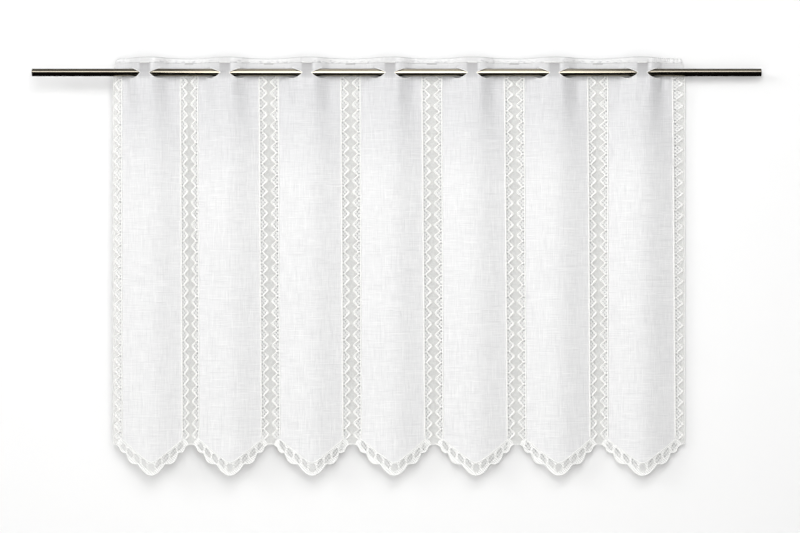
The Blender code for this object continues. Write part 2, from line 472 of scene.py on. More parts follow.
PANELS = tuple(
    Panel(*(size * MM for size in row))
    for row in (
        (127.4, 128.6, 211.8, 214.8, 161.7, 171.0, 6.2),
        (236.4, 238.9, 324.6, 328.2, 276.2, 283.4, 6.6),
        (352.1, 354.6, 441.9, 445.1, 393.7, 401.5, 6.9),
        (469.6, 471.3, 558.2, 562.6, 512.5, 519.0, 6.6),
        (586.6, 588.8, 676.6, 680.9, 629.9, 635.7, 6.4),
        (704.5, 707.7, 796.1, 799.6, 747.4, 753.8, 6.7),
        (825.0, 824.8, 917.6, 921.8, 873.4, 873.4, 7.8),
    )
)

LOBES = (
    Lobe(1.00, 0.915, 1.00, 0.92, 1.0, 3),
    Lobe(0.915, 0.72, 0.92, 0.73, 5.0, 9),
    Lobe(0.72, 0.365, 0.73, 0.365, 4.5, 12),
    Lobe(0.365, 0.00, 0.365, 0.00, 2.1, 12),
)

CREASES = (
    Crease(125.2, 15, 125.8, 6, 2.0, -0.6),
    Crease(132.0, -7, 132.3, -24, 1.9, 0.8),
    Crease(135.9, -6, 135.6, -25, 1.5, -1.0),
    Crease(140.2, -7, 139.4, -24, 2.0, 0.7),
    Crease(141.6, 17, 141.6, 8, 4.5, -0.5),
    Crease(155.9, 15, 155.5, 7, 1.6, -0.6),
    Crease(176.0, -10, 190.0, -13, 3.5, 0.4),
    Crease(244.0, -6, 239.3, -18, 1.6, -1.0),
    Crease(252.5, 16, 252.5, 8, 5.0, -0.5),
    Crease(252.0, -18, 272.0, -17, 2.4, -0.4),
    Crease(290.0, -11, 310.0, -11, 3.2, 0.4),
    Crease(292.0, -19, 312.0, -20, 3.0, -0.5),
    Crease(352.6, -6, 352.0, -19, 1.6, 0.7),
    Crease(358.5, -6, 354.0, -18, 1.6, -1.0),
    Crease(370.8, 16, 370.8, 8, 5.0, -0.5),
    Crease(469.8, -6, 470.0, -20, 1.6, 0.6),
    Crease(479.5, -6, 474.5, -18, 1.7, -1.0),
    Crease(484.0, 18, 484.0, 8, 6.5, -0.5),
    Crease(532.0, 19, 532.0, 14, 1.6, 0.5),
    Crease(534.0, -9, 533.0, -27, 4.5, -0.7),
    Crease(592.5, -6, 589.0, -15, 1.5, -0.8),
    Crease(598.0, -13, 612.0, -12, 3.5, 0.4),
    Crease(596.0, -20, 616.0, -20, 2.2, -0.4),
    Crease(625.6, -9, 625.0, -29, 2.1, -0.6),
    Crease(633.0, -9, 632.0, -31, 2.6, 0.5),
    Crease(660.0, -11, 661.0, -25, 3.0, -0.5),
    Crease(711.5, -6, 707.2, -15, 1.5, -0.9),
    Crease(741.0, 12, 741.0, -9, 1.4, -0.4),
    Crease(783.0, -10, 782.0, -46, 5.0, -0.9),
    Crease(787.0, -7, 795.0, -11, 1.5, -0.7),
    Crease(867.6, -6, 867.0, -16, 1.4, -0.5),
    Crease(882.8, 17, 883.2, 7, 2.0, -1.2),
    Crease(891.6, -6, 892.0, -16, 1.4, -0.5),
    Crease(901.8, 15, 902.0, 7, 2.0, -0.6),
    Crease(902.5, -6, 901.5, -27, 2.0, -1.0),
    Crease(912.6, -9, 911.0, -24, 4.0, 0.9),
    Crease(922.0, -6, 935.0, -13, 1.6, -0.9),
)


@dataclass(frozen=True)
class HungCloth:
    """The cloth's outline, cords and folds, with the sizes of its solid, in metres."""

    panels: tuple[Panel, ...] = PANELS
    lobes: tuple[Lobe, ...] = LOBES
    creases: tuple[Crease, ...] = CREASES
    rod_radius: float = 5.4 * MM
    top_edge: float = 22.2 * MM
    top_hem: float = 8.0 * MM
    top_dip: float = 2.0 * MM
    scallop_start: float = -533.4 * MM
    tip: float = -577.0 * MM
    left_selvedge: float = 114.8 * MM
    right_selvedge: float = 935.6 * MM
    left_draw_in: float = 2.5 * MM
    right_draw_in: float = 4.0 * MM
    left_corner: float = 8.0 * MM
    right_corner: float = 4.0 * MM
    corner_segments: int = 6
    bridge_width: float = 17.0 * MM
    eyelet_length: float = 26.0 * MM
    eyelet_drop: float = 8.2 * MM
    eyelet_point: float = 1.6 * MM
    eyelet_to_cord: float = 4.4 * MM
    rest_gap: float = 0.4 * MM
    cord_thickness: float = 2.0 * MM
    cord_width: float = 2.8 * MM
    weave_reach: float = 9.0 * MM
    weave_fade_above: float = 30.0 * MM
    weave_fade_below: float = 95.0 * MM
    fold_sharpness: float = 0.6
    # Painted shade: in the thin upper ends of the sheer columns, on the bridges, and left of each bridge
    # above the rod.
    slit_width: float = 13.0 * MM
    slit_top: float = 13.9 * MM
    slit_foot: float = 11.0 * MM
    bridge_shade_width: float = 13.0 * MM
    bridge_shade_above: float = 12.5 * MM
    bridge_shade_below: float = 4.0 * MM
    shade_fade: float = 3.0 * MM
    shade_fade_below: float = 7.0 * MM
    bridge_shade_at_foot: float = 0.5
    side_shade: float = 0.45
    side_shade_fade: float = 26.0 * MM
    lobe_crowding: float = 1.5
    lobe_start_past_cord: float = 9.0 * MM

    @property
    def hem_line(self) -> float:
        """The height of the top hem's lower edge."""
        return self.top_edge - self.top_hem

    def drop_share(self, z: float) -> float:
        """How far down the cloth a height is, from 0 at the top edge to 1 at the scallops."""
        return min(max((self.top_edge - z) / (self.top_edge - self.scallop_start), 0.0), 1.0)

    def left_cord(self, panel: Panel, z: float) -> float:
        """Where a panel's left cord runs at this height."""
        return between(panel.left_top, panel.left_foot, self.drop_share(z))

    def right_cord(self, panel: Panel, z: float) -> float:
        """Where a panel's right cord runs at this height."""
        return between(panel.right_top, panel.right_foot, self.drop_share(z))

    def left_edge(self, z: float) -> float:
        """Where the left selvedge runs at this height."""
        return self.left_selvedge + self.left_draw_in * ease(z / self.hem_line)

    def right_edge(self, z: float) -> float:
        """Where the right selvedge runs at this height."""
        return self.right_selvedge - self.right_draw_in * ease(z / self.hem_line)

    def troughs(self, z: float) -> list[float]:
        """Where the cloth lies furthest back: the selvedges and the middles of the lace strips.

        Args:
            z: the height.

        Returns:
            The places along the rod, from left to right.
        """
        share = self.drop_share(z)
        rights = [between(panel.right_top, panel.right_foot, share) for panel in self.panels[:-1]]
        lefts = [between(panel.left_top, panel.left_foot, share) for panel in self.panels[1:]]
        middles = [(right + left) / 2 for right, left in zip(rights, lefts)]
        return [self.left_edge(z), *middles, self.right_edge(z)]

    def panel_at(self, x: float, z: float) -> tuple[int, float, float]:
        """Find the panel at a place of the front view.

        Args:
            x: the place along the rod.
            z: its height.

        Returns:
            The panel's number, and the troughs on its two sides.
        """
        edges = self.troughs(z)
        number = sum(x > edge for edge in edges[1:-1])
        return number, edges[number], edges[number + 1]

    def top_line(self, x: float) -> float:
        """The height of the top edge, which dips at each lace strip."""
        _, low, high = self.panel_at(x, self.top_edge)
        return self.top_edge - self.top_dip * (1 + math.cos(2 * math.pi * (x - low) / (high - low))) / 2

    def length_of_eyelet(self, panel: Panel, side: int) -> float:
        """The length of the eyelet on one side of a panel's bridge, shortened where the cord is near.

        Args:
            panel: the panel.
            side: -1 for the left one and 1 for the right one.

        Returns:
            The length.
        """
        cord = self.left_cord(panel, 0) if side < 0 else self.right_cord(panel, 0)
        room = abs(cord - panel.bridge) - self.bridge_width / 2
        return min(self.eyelet_length, room - self.eyelet_to_cord)

    def eyelets(self) -> list[Eyelet]:
        """Return the eyelets, two for each panel.

        Returns:
            The eyelets, from left to right.
        """
        up = self.rod_radius + self.rest_gap
        found = []
        for panel in self.panels:
            for side in (-1, 1):
                length = self.length_of_eyelet(panel, side)
                long = length + self.eyelet_point
                away = (self.bridge_width - self.eyelet_point * 2 + long) / 2
                middle = panel.bridge + side * away
                found.append(Eyelet(middle, long / 2, up, self.eyelet_drop))
        return found

    def weave(self, z: float) -> float:
        """How closely the cloth follows the rod's weave at this height, from 1 beside the rod to 0."""
        fade = self.weave_fade_above if z > 0 else self.weave_fade_below
        return 1 - ease((abs(z) - self.weave_reach) / fade)

    def depth(self, x: float, z: float) -> float:
        """How far behind the rod's axis the middle of the cloth lies, as in its solid.

        Args:
            x: the place along the rod.
            z: its height.

        Returns:
            The depth, negative towards the viewer.
        """
        number, low, high = self.panel_at(x, z)
        panel = self.panels[number]
        weave = self.weave(z)
        middle = (self.left_cord(panel, z) + self.right_cord(panel, z)) / 2
        crest = between(middle, panel.bridge, weave)
        side = 1 if x > crest else -1
        away = min(abs(x - crest) / abs((high if side > 0 else low) - crest), 1.0)
        neighbour = self.panels[min(max(number + side, 0), len(self.panels) - 1)]
        reach = between(panel.fold, (panel.fold + neighbour.fold) / 2, away)
        fold = reach * rounded_zigzag(math.pi * away, self.fold_sharpness)
        across = ease((abs(x - crest) - self.bridge_width / 2) / self.length_of_eyelet(panel, side))
        woven = (self.rod_radius + self.rest_gap + self.cord_thickness / 2) * (1 - 2 * across)
        return -between(fold, woven, weave)

    def hang(self, x: float, z: float) -> Vector:
        """Return where a point of the front view hangs: in its folds, with the soft creases of the
        heading, and clear of the rod.

        Args:
            x: the place along the rod.
            z: its height.

        Returns:
            The hung point.
        """
        y = self.depth(x, z) - sum(crease.at(x, z) for crease in self.creases)
        clear = self.rod_radius + self.cord_thickness / 2
        if abs(z) < clear:
            y = math.copysign(max(abs(y), math.sqrt(clear * clear - z * z)), y)
        return Vector((x, y, z))

    def drawn(self, x: float, z: float) -> float:
        """How much painted shade the knit takes at a place, from 1 on a bridge to 0 beside it. On a bridge
        it stands for the dark rod seen through the knit and the shade round it. The thin end of each sheer
        column, under the hem, takes it in full as painted shadow of the wall behind, and the knit left of
        each bridge above the rod takes a share of it as painted shade.

        Args:
            x: the place along the rod.
            z: its height.

        Returns:
            The share.
        """
        if self.slit_foot < z < self.slit_top:
            near = min(abs(x - trough) for trough in self.troughs(z)[1:-1])
            if near < self.slit_width / 2:
                return 1.0
        number, _, _ = self.panel_at(x, z)
        away = abs(x - self.panels[number].bridge) - self.bridge_shade_width / 2
        above = 1 - ease((z - self.bridge_shade_above) / self.shade_fade)
        below = 1 - ease((-z - self.bridge_shade_below) / self.shade_fade_below)
        down = (self.bridge_shade_above - z) / (self.bridge_shade_above + self.bridge_shade_below)
        slack = between(1.0, self.bridge_shade_at_foot, down)
        on_bridge = (1 - ease(away / self.shade_fade)) * above * below * min(slack, 1.0)
        if z < 0 or x > self.panels[number].bridge:
            return on_bridge
        return max(on_bridge, self.side_shade * (1 - ease(away / self.side_shade_fade)))

    def half_scallop(self, tip: float, start: float) -> Line:
        """Return half a panel's scalloped edge, from where its outermost lobe starts to its tip.

        Args:
            tip: where the tip lies along the rod.
            start: where the outermost lobe starts.

        Returns:
            The points, without the tip itself.
        """
        height = self.scallop_start - self.tip
        points = []
        for lobe in self.lobes:
            for step in range(lobe.segments):
                share = (step / lobe.segments) ** self.lobe_crowding
                fall = 1 - (1 - share) ** lobe.roundness
                x = between(lobe.outer, lobe.inner, share)
                rise = between(lobe.outer_rise, lobe.inner_rise, fall)
                points.append((tip + x * (start - tip), self.tip + rise * height))
        return points

    def scalloped_edge(self) -> Line:
        """Return the lower edge, from the left selvedge to the right one.

        Returns:
            The line.
        """
        points = [(self.left_selvedge, self.scallop_start)]
        for panel in self.panels:
            left = panel.left_foot - self.lobe_start_past_cord
            left = max(left, self.left_selvedge + self.cord_width)
            right = panel.right_foot + self.lobe_start_past_cord
            right = min(right, self.right_selvedge - self.cord_width)
            points += self.half_scallop(panel.tip, left)
            points.append((panel.tip, self.tip))
            points += reversed(self.half_scallop(panel.tip, right))
        return [*points, (self.right_selvedge, self.scallop_start)]

    def top_corner(self, edge: float, radius: float, side: int) -> Line:
        """Return the points that round one end of the top edge, from the selvedge up.

        Args:
            edge: where the selvedge runs.
            radius: the corner's radius.
            side: -1 for the left end and 1 for the right one.

        Returns:
            The points.
        """
        height = self.top_line(edge) - radius
        return [
            (edge - side * radius * (1 - math.cos(turn)), height + radius * math.sin(turn))
            for turn in steps(0, math.pi / 2, self.corner_segments)
        ]

    def top_corners(self) -> tuple[Line, Line]:
        """Return the left and the right rounded end of the top edge, each from its selvedge up.

        Returns:
            The two lines.
        """
        left = self.top_corner(self.left_edge(self.top_edge), self.left_corner, -1)
        right = self.top_corner(self.right_edge(self.top_edge), self.right_corner, 1)
        return left, right


# The finishes.


@dataclass(frozen=True)
class LinenKnit:
    """Linen-look polyester knit: a matt white ground, with thicker and thinner yarns in both
    directions. It gives the eye thin lighter and darker dashes that cross each other. Painted shade
    darkens it towards the heading and most of all about the rod, and painted light makes it lighter
    and plain above the rod, up to the hem. The real yarns lie about half as far apart, too fine to
    show."""

    light: str = "#DADADA"
    dark: str = "#CECECF"
    # Painted shade, multiplied in towards the heading.
    heading: str = "#F0F0F1"
    # Painted light, mixed in above the rod.
    painted_light_above_rod: str = "#CECECF"
    # Painted shade about the rod.
    rod_shade: str = "#9F9E9F"
    yarn: float = 0.95 * MM
    warp_length: float = 26.0 * MM
    weft_length: float = 28.0 * MM
    wander: float = 0.9
    relief: float = 0.12 * MM
    noise_span: Point = (0.25, 0.75)
    contrast: float = 0.6
    cover: Point = (0.9, 0.97)
    # Where the painted shade towards the heading starts, and where it is full.
    heading_shade_from: float = -180.0 * MM
    heading_shade_full: float = -30.0 * MM
    # Where the painted light above the rod starts and is full, and its share.
    painted_light_from: float = 3.0 * MM
    painted_light_full: float = 7.0 * MM
    painted_light_share: float = 0.8

    def material(self) -> bpy.types.Material:
        """Make the material.

        Returns:
            The material.
        """
        material, shader = new_material("linen-look polyester knit", Roughness=0.85)
        tree = material.node_tree
        flat = add_node(tree, "ShaderNodeUVMap", uv_map=FLAT_MAP)
        slubs = []
        for scale in ((1 / self.yarn, 1 / self.warp_length, 1), (1 / self.weft_length, 1 / self.yarn, 1)):
            place = add_node(tree, "ShaderNodeMapping", {"Vector": flat.outputs[0], "Scale": scale})
            noise = add_node(
                tree,
                "ShaderNodeTexNoise",
                {"Vector": place.outputs[0], "Scale": 1.0, "Detail": 1.0, "Distortion": self.wander},
                noise_dimensions="2D",
            )
            low, high = self.noise_span
            spread = add_node(
                tree,
                "ShaderNodeMapRange",
                {
                    "Value": noise.outputs[0],
                    "From Min": low,
                    "From Max": high,
                    "To Min": -1.0,
                    "To Max": 1.0,
                },
            )
            # The third power leaves most of the ground plain, with a few distinct thick and thin yarns.
            slub = add_node(tree, "ShaderNodeMath", {0: spread.outputs[0], 1: 3.0}, operation="POWER")
            slubs.append(slub.outputs[0])
        both = add_node(tree, "ShaderNodeMath", {0: slubs[0], 1: slubs[1]}, operation="ADD")
        thick = add_node(
            tree,
            "ShaderNodeMapRange",
            {"Value": both.outputs[0], "From Min": -self.contrast, "From Max": self.contrast},
        )
        colour = add_node(
            tree,
            "ShaderNodeMix",
            {"Factor": thick.outputs[0], "A": linear(self.dark), "B": linear(self.light)},
            data_type="RGBA",
        )
        height = add_node(tree, "ShaderNodeSeparateXYZ", {0: flat.outputs[0]}).outputs["Y"]
        # Painted shade towards the heading, painted light above the rod, then painted shade about the rod.
        factors = [
            add_node(
                tree,
                "ShaderNodeMapRange",
                {"Value": height, "From Min": low, "From Max": high, "To Max": most},
                interpolation_type="SMOOTHSTEP",
            ).outputs[0]
            for low, high, most in (
                (self.heading_shade_from, self.heading_shade_full, 1.0),
                (self.painted_light_from, self.painted_light_full, self.painted_light_share),
            )
        ]
        # The painted shade about the rod, kept on each point.
        factors.append(add_node(tree, "ShaderNodeAttribute", attribute_name=SHADE_ABOUT_ROD).outputs["Fac"])
        shades = ((self.heading, "MULTIPLY"), (self.painted_light_above_rod, "MIX"), (self.rod_shade, "MIX"))
        for factor, (shade, blend) in zip(factors, shades):
            colour = add_node(
                tree,
                "ShaderNodeMix",
                {"Factor": factor, "A": colour.outputs["Result"], "B": linear(shade)},
                data_type="RGBA",
                blend_type=blend,
            )
        least, most = self.cover
        cover = add_node(
            tree, "ShaderNodeMapRange", {"Value": thick.outputs[0], "To Min": least, "To Max": most}
        )
        relief = add_node(
            tree, "ShaderNodeBump", {"Height": thick.outputs[0], "Distance": self.relief, "Strength": 1.0}
        )
        tree.links.new(colour.outputs["Result"], shader.inputs["Base Color"])
        tree.links.new(cover.outputs[0], shader.inputs["Alpha"])
        tree.links.new(relief.outputs[0], shader.inputs["Normal"])
        return material


@dataclass(frozen=True)
class SheerKnit:
    """Sheer polyester voile knit: so open that half of what lies behind it shows through. It gives the
    eye a smooth gray veil between the bright cords."""

    colour: str = "#DCDCD9"
    cover: Point = (0.40, 0.50)
    noise_span: Point = (0.3, 0.7)
    mesh: float = 2.4 * MM

    def material(self) -> bpy.types.Material:
        """Make the material.

        Returns:
            The material.
        """
        material, shader = new_material(
            "sheer polyester voile knit", Base_Color=linear(self.colour), Roughness=0.8
        )
        tree = material.node_tree
        flat = add_node(tree, "ShaderNodeUVMap", uv_map=FLAT_MAP)
        noise = add_node(
            tree,
            "ShaderNodeTexNoise",
            {"Vector": flat.outputs[0], "Scale": 1 / self.mesh, "Detail": 1.0},
            noise_dimensions="2D",
        )
        low, high = self.noise_span
        least, most = self.cover
        cover = add_node(
            tree,
            "ShaderNodeMapRange",
            {
                "Value": noise.outputs[0],
                "From Min": low,
                "From Max": high,
                "To Min": least,
                "To Max": most,
            },
        )
        tree.links.new(cover.outputs[0], shader.inputs["Alpha"])
        return material


@dataclass(frozen=True)
class DenseKnit:
    """Dense raschel knit: several yarns thick, bright white, with the fine ribs of its stitches."""

    light: str = "#E2E2E1"
    dark: str = "#D4D4D2"
    rib: float = 1.9 * MM
    wander: float = 2.5
    relief: float = 0.35 * MM

    def material(self) -> bpy.types.Material:
        """Make the material.

        Returns:
            The material.
        """
        material, shader = new_material("dense raschel knit", Roughness=0.8)
        tree = material.node_tree
        flat = add_node(tree, "ShaderNodeUVMap", uv_map=FLAT_MAP)
        # Blender repeats its waves 20 / (2 pi) times in a unit of length.
        ribs = add_node(
            tree,
            "ShaderNodeTexWave",
            {
                "Vector": flat.outputs[0],
                "Scale": 2 * math.pi / (20 * self.rib),
                "Distortion": self.wander,
                "Detail": 2.0,
                "Detail Scale": 1.5,
            },
            bands_direction="DIAGONAL",
        )
        colour = add_node(
            tree,
            "ShaderNodeMix",
            {"Factor": ribs.outputs["Fac"], "A": linear(self.dark), "B": linear(self.light)},
            data_type="RGBA",
        )
        relief = add_node(tree, "ShaderNodeBump", {"Height": ribs.outputs["Fac"], "Distance": self.relief})
        tree.links.new(colour.outputs["Result"], shader.inputs["Base Color"])
        tree.links.new(relief.outputs[0], shader.inputs["Normal"])
        return material


@dataclass(frozen=True)
class FoldedTricot:
    """Folded tricot hem: two thin layers on each other. It gives the eye a light band with short uneven
    gray streaks in its lower half, a gray line of painted shade along its top, and painted shade over
    each bridge."""

    light: str = "#D7D7D7"
    dark: str = "#B7B7B9"
    # Painted shade: the gray line along the hem's top.
    fold: str = "#B2B2B2"
    # Painted shade over each bridge.
    rod_shade: str = "#C2C2C2"
    streak_length: float = 6.0 * MM
    streak_height: float = 1.6 * MM
    wander: float = 0.4
    streak_span: Point = (0.52, 0.3)
    lower_half: Point = (0.8, 0.3)
    top_shade_span: Point = (0.8, 0.9)
    relief: float = 0.25 * MM

    def material(self) -> bpy.types.Material:
        """Make the material.

        Returns:
            The material.
        """
        material, shader = new_material("folded tricot hem", Roughness=0.85)
        tree = material.node_tree
        flat = add_node(tree, "ShaderNodeUVMap", uv_map=FLAT_MAP)
        up = add_node(tree, "ShaderNodeAttribute", attribute_name=UP_HEM)
        scale = (1 / self.streak_length, 1 / self.streak_height, 1)
        place = add_node(tree, "ShaderNodeMapping", {"Vector": flat.outputs[0], "Scale": scale})
        streaks = add_node(
            tree,
            "ShaderNodeTexNoise",
            {"Vector": place.outputs[0], "Scale": 1.0, "Detail": 1.0, "Distortion": self.wander},
            noise_dimensions="2D",
        )
        height = up.outputs["Fac"]
        streaked, lower, fold = (
            add_node(tree, "ShaderNodeMapRange", {"Value": value, "From Min": start, "From Max": full})
            for value, (start, full) in (
                (streaks.outputs[0], self.streak_span),
                (height, self.lower_half),
                (height, self.top_shade_span),
            )
        )
        gray = add_node(
            tree, "ShaderNodeMath", {0: streaked.outputs[0], 1: lower.outputs[0]}, operation="MULTIPLY"
        )
        colour = add_node(
            tree,
            "ShaderNodeMix",
            {"Factor": gray.outputs[0], "A": linear(self.light), "B": linear(self.dark)},
            data_type="RGBA",
        )
        # Painted shade over the bridges, then the painted gray line along the top.
        rod_shade = add_node(tree, "ShaderNodeAttribute", attribute_name=SHADE_ABOUT_ROD).outputs["Fac"]
        for factor, shade in ((rod_shade, self.rod_shade), (fold.outputs[0], self.fold)):
            colour = add_node(
                tree,
                "ShaderNodeMix",
                {"Factor": factor, "A": colour.outputs["Result"], "B": linear(shade)},
                data_type="RGBA",
            )
        relief = add_node(tree, "ShaderNodeBump", {"Height": streaks.outputs[0], "Distance": self.relief})
        tree.links.new(colour.outputs["Result"], shader.inputs["Base Color"])
        tree.links.new(relief.outputs[0], shader.inputs["Normal"])
        return material


@dataclass(frozen=True)
class NetThread:
    """Fine tulle thread: smooth twisted filament, a touch uneven in its brightness."""

    light: str = "#F5F5F4"
    dark: str = "#E2E2E0"
    patch: float = 3.0 * MM

    def material(self) -> bpy.types.Material:
        """Make the material.

        Returns:
            The material.
        """
        material, shader = new_material("twisted tulle filament", Roughness=0.7)
        tree = material.node_tree
        flat = add_node(tree, "ShaderNodeUVMap", uv_map=FLAT_MAP)
        noise = add_node(
            tree,
            "ShaderNodeTexNoise",
            {"Vector": flat.outputs[0], "Scale": 1 / self.patch, "Detail": 2.0},
            noise_dimensions="2D",
        )
        colour = add_node(
            tree,
            "ShaderNodeMix",
            {"Factor": noise.outputs[0], "A": linear(self.dark), "B": linear(self.light)},
            data_type="RGBA",
        )
        tree.links.new(colour.outputs["Result"], shader.inputs["Base Color"])
        return material


@dataclass(frozen=True)
class StitchedYarn:
    """Bright soft yarn in a row of stitches: each stitch is a small bump, with painted shade where it goes
    in. A real stitch is about half as long, too fine to show."""

    name: str
    stitch: float
    light: str = "#E1E1DF"
    dark: str = "#D6D6D4"
    full_from: float = 0.6
    relief: float = 0.2 * MM

    def material(self) -> bpy.types.Material:
        """Make the material.

        Returns:
            The material.
        """
        material, shader = new_material(self.name, Roughness=0.75)
        tree = material.node_tree
        along = add_node(tree, "ShaderNodeAttribute", attribute_name=ALONG)
        turns = add_node(
            tree,
            "ShaderNodeMath",
            {0: along.outputs["Fac"], 1: 2 * math.pi / self.stitch},
            operation="MULTIPLY",
        )
        wave = add_node(tree, "ShaderNodeMath", {0: turns.outputs[0]}, operation="SINE")
        height = add_node(
            tree,
            "ShaderNodeMapRange",
            {"Value": wave.outputs[0], "From Min": -1.0, "From Max": self.full_from},
        )
        # Painted shade in each stitch's dip, by the same height that drives the bump.
        colour = add_node(
            tree,
            "ShaderNodeMix",
            {"Factor": height.outputs[0], "A": linear(self.dark), "B": linear(self.light)},
            data_type="RGBA",
        )
        relief = add_node(tree, "ShaderNodeBump", {"Height": height.outputs[0], "Distance": self.relief})
        tree.links.new(colour.outputs["Result"], shader.inputs["Base Color"])
        tree.links.new(relief.outputs[0], shader.inputs["Normal"])
        return material


@dataclass(frozen=True)
class AntiqueBrass:
    """Antique brass: drawn tube, darkened with a patina and polished back. It gives the eye a dark,
    warm mirror with one sharp bright line, and faint draw marks along it."""

    worn: str = "#837E71"
    patina: str = "#7D776C"
    edge: str = "#8A8070"
    draw_mark: float = 0.7 * MM
    draw_length: float = 0.5
    patch: float = 45.0 * MM
    patch_span: Point = (0.35, 0.65)
    roughness: Point = (0.075, 0.085)

    def material(self) -> bpy.types.Material:
        """Make the material.

        Returns:
            The material.
        """
        material, shader = new_material(
            "antique brass, drawn and darkened", Metallic=1.0, Specular_Tint=linear(self.edge)
        )
        tree = material.node_tree
        place = add_node(tree, "ShaderNodeTexCoord")
        stretched = add_node(
            tree,
            "ShaderNodeMapping",
            {
                "Vector": place.outputs["Object"],
                "Scale": (1 / self.draw_length, 1 / self.draw_mark, 1 / self.draw_mark),
            },
        )
        marks = add_node(
            tree, "ShaderNodeTexNoise", {"Vector": stretched.outputs[0], "Scale": 1.0, "Detail": 3.0}
        )
        patches = add_node(
            tree,
            "ShaderNodeTexNoise",
            {"Vector": place.outputs["Object"], "Scale": 1 / self.patch, "Detail": 4.0},
        )
        low, high = self.patch_span
        wear = add_node(
            tree, "ShaderNodeMapRange", {"Value": patches.outputs[0], "From Min": low, "From Max": high}
        )
        colour = add_node(
            tree,
            "ShaderNodeMix",
            {"Factor": wear.outputs[0], "A": linear(self.patina), "B": linear(self.worn)},
            data_type="RGBA",
        )
        smooth, rough = self.roughness
        gloss = add_node(
            tree, "ShaderNodeMapRange", {"Value": marks.outputs[0], "To Min": smooth, "To Max": rough}
        )
        tree.links.new(colour.outputs["Result"], shader.inputs["Base Color"])
        tree.links.new(gloss.outputs[0], shader.inputs["Roughness"])
        return material


# The lace strips, the border and the pieces.


@dataclass(frozen=True)
class Slip:
    """How far a strip's knit has slipped down, in mm, at its heading, halfway and at its foot."""

    heading: float
    halfway: float
    foot: float

    def at(self, share: float) -> float:
        """Return the slip at a share of the way down, in metres.

        Args:
            share: 0 at the heading and 1 at the foot.

        Returns:
            The slip.
        """
        bend = 2 * (self.heading + self.foot) - 4 * self.halfway
        slope = self.foot - self.heading - bend
        return (self.heading + slope * share + bend * share * share) * MM


@dataclass(frozen=True)
class HalfStrip:
    """The half of a lace strip that lies beside one cord of a panel. A side of -1 lies left of the
    panel. The first tip is the height of a tip of its zigzag below the rod, before it has slipped."""

    panel: int
    side: int
    first_tip: float
    slip: Slip

    @property
    def trough(self) -> int:
        """The number of the trough that the half strip reaches to."""
        return self.panel + (self.side > 0)


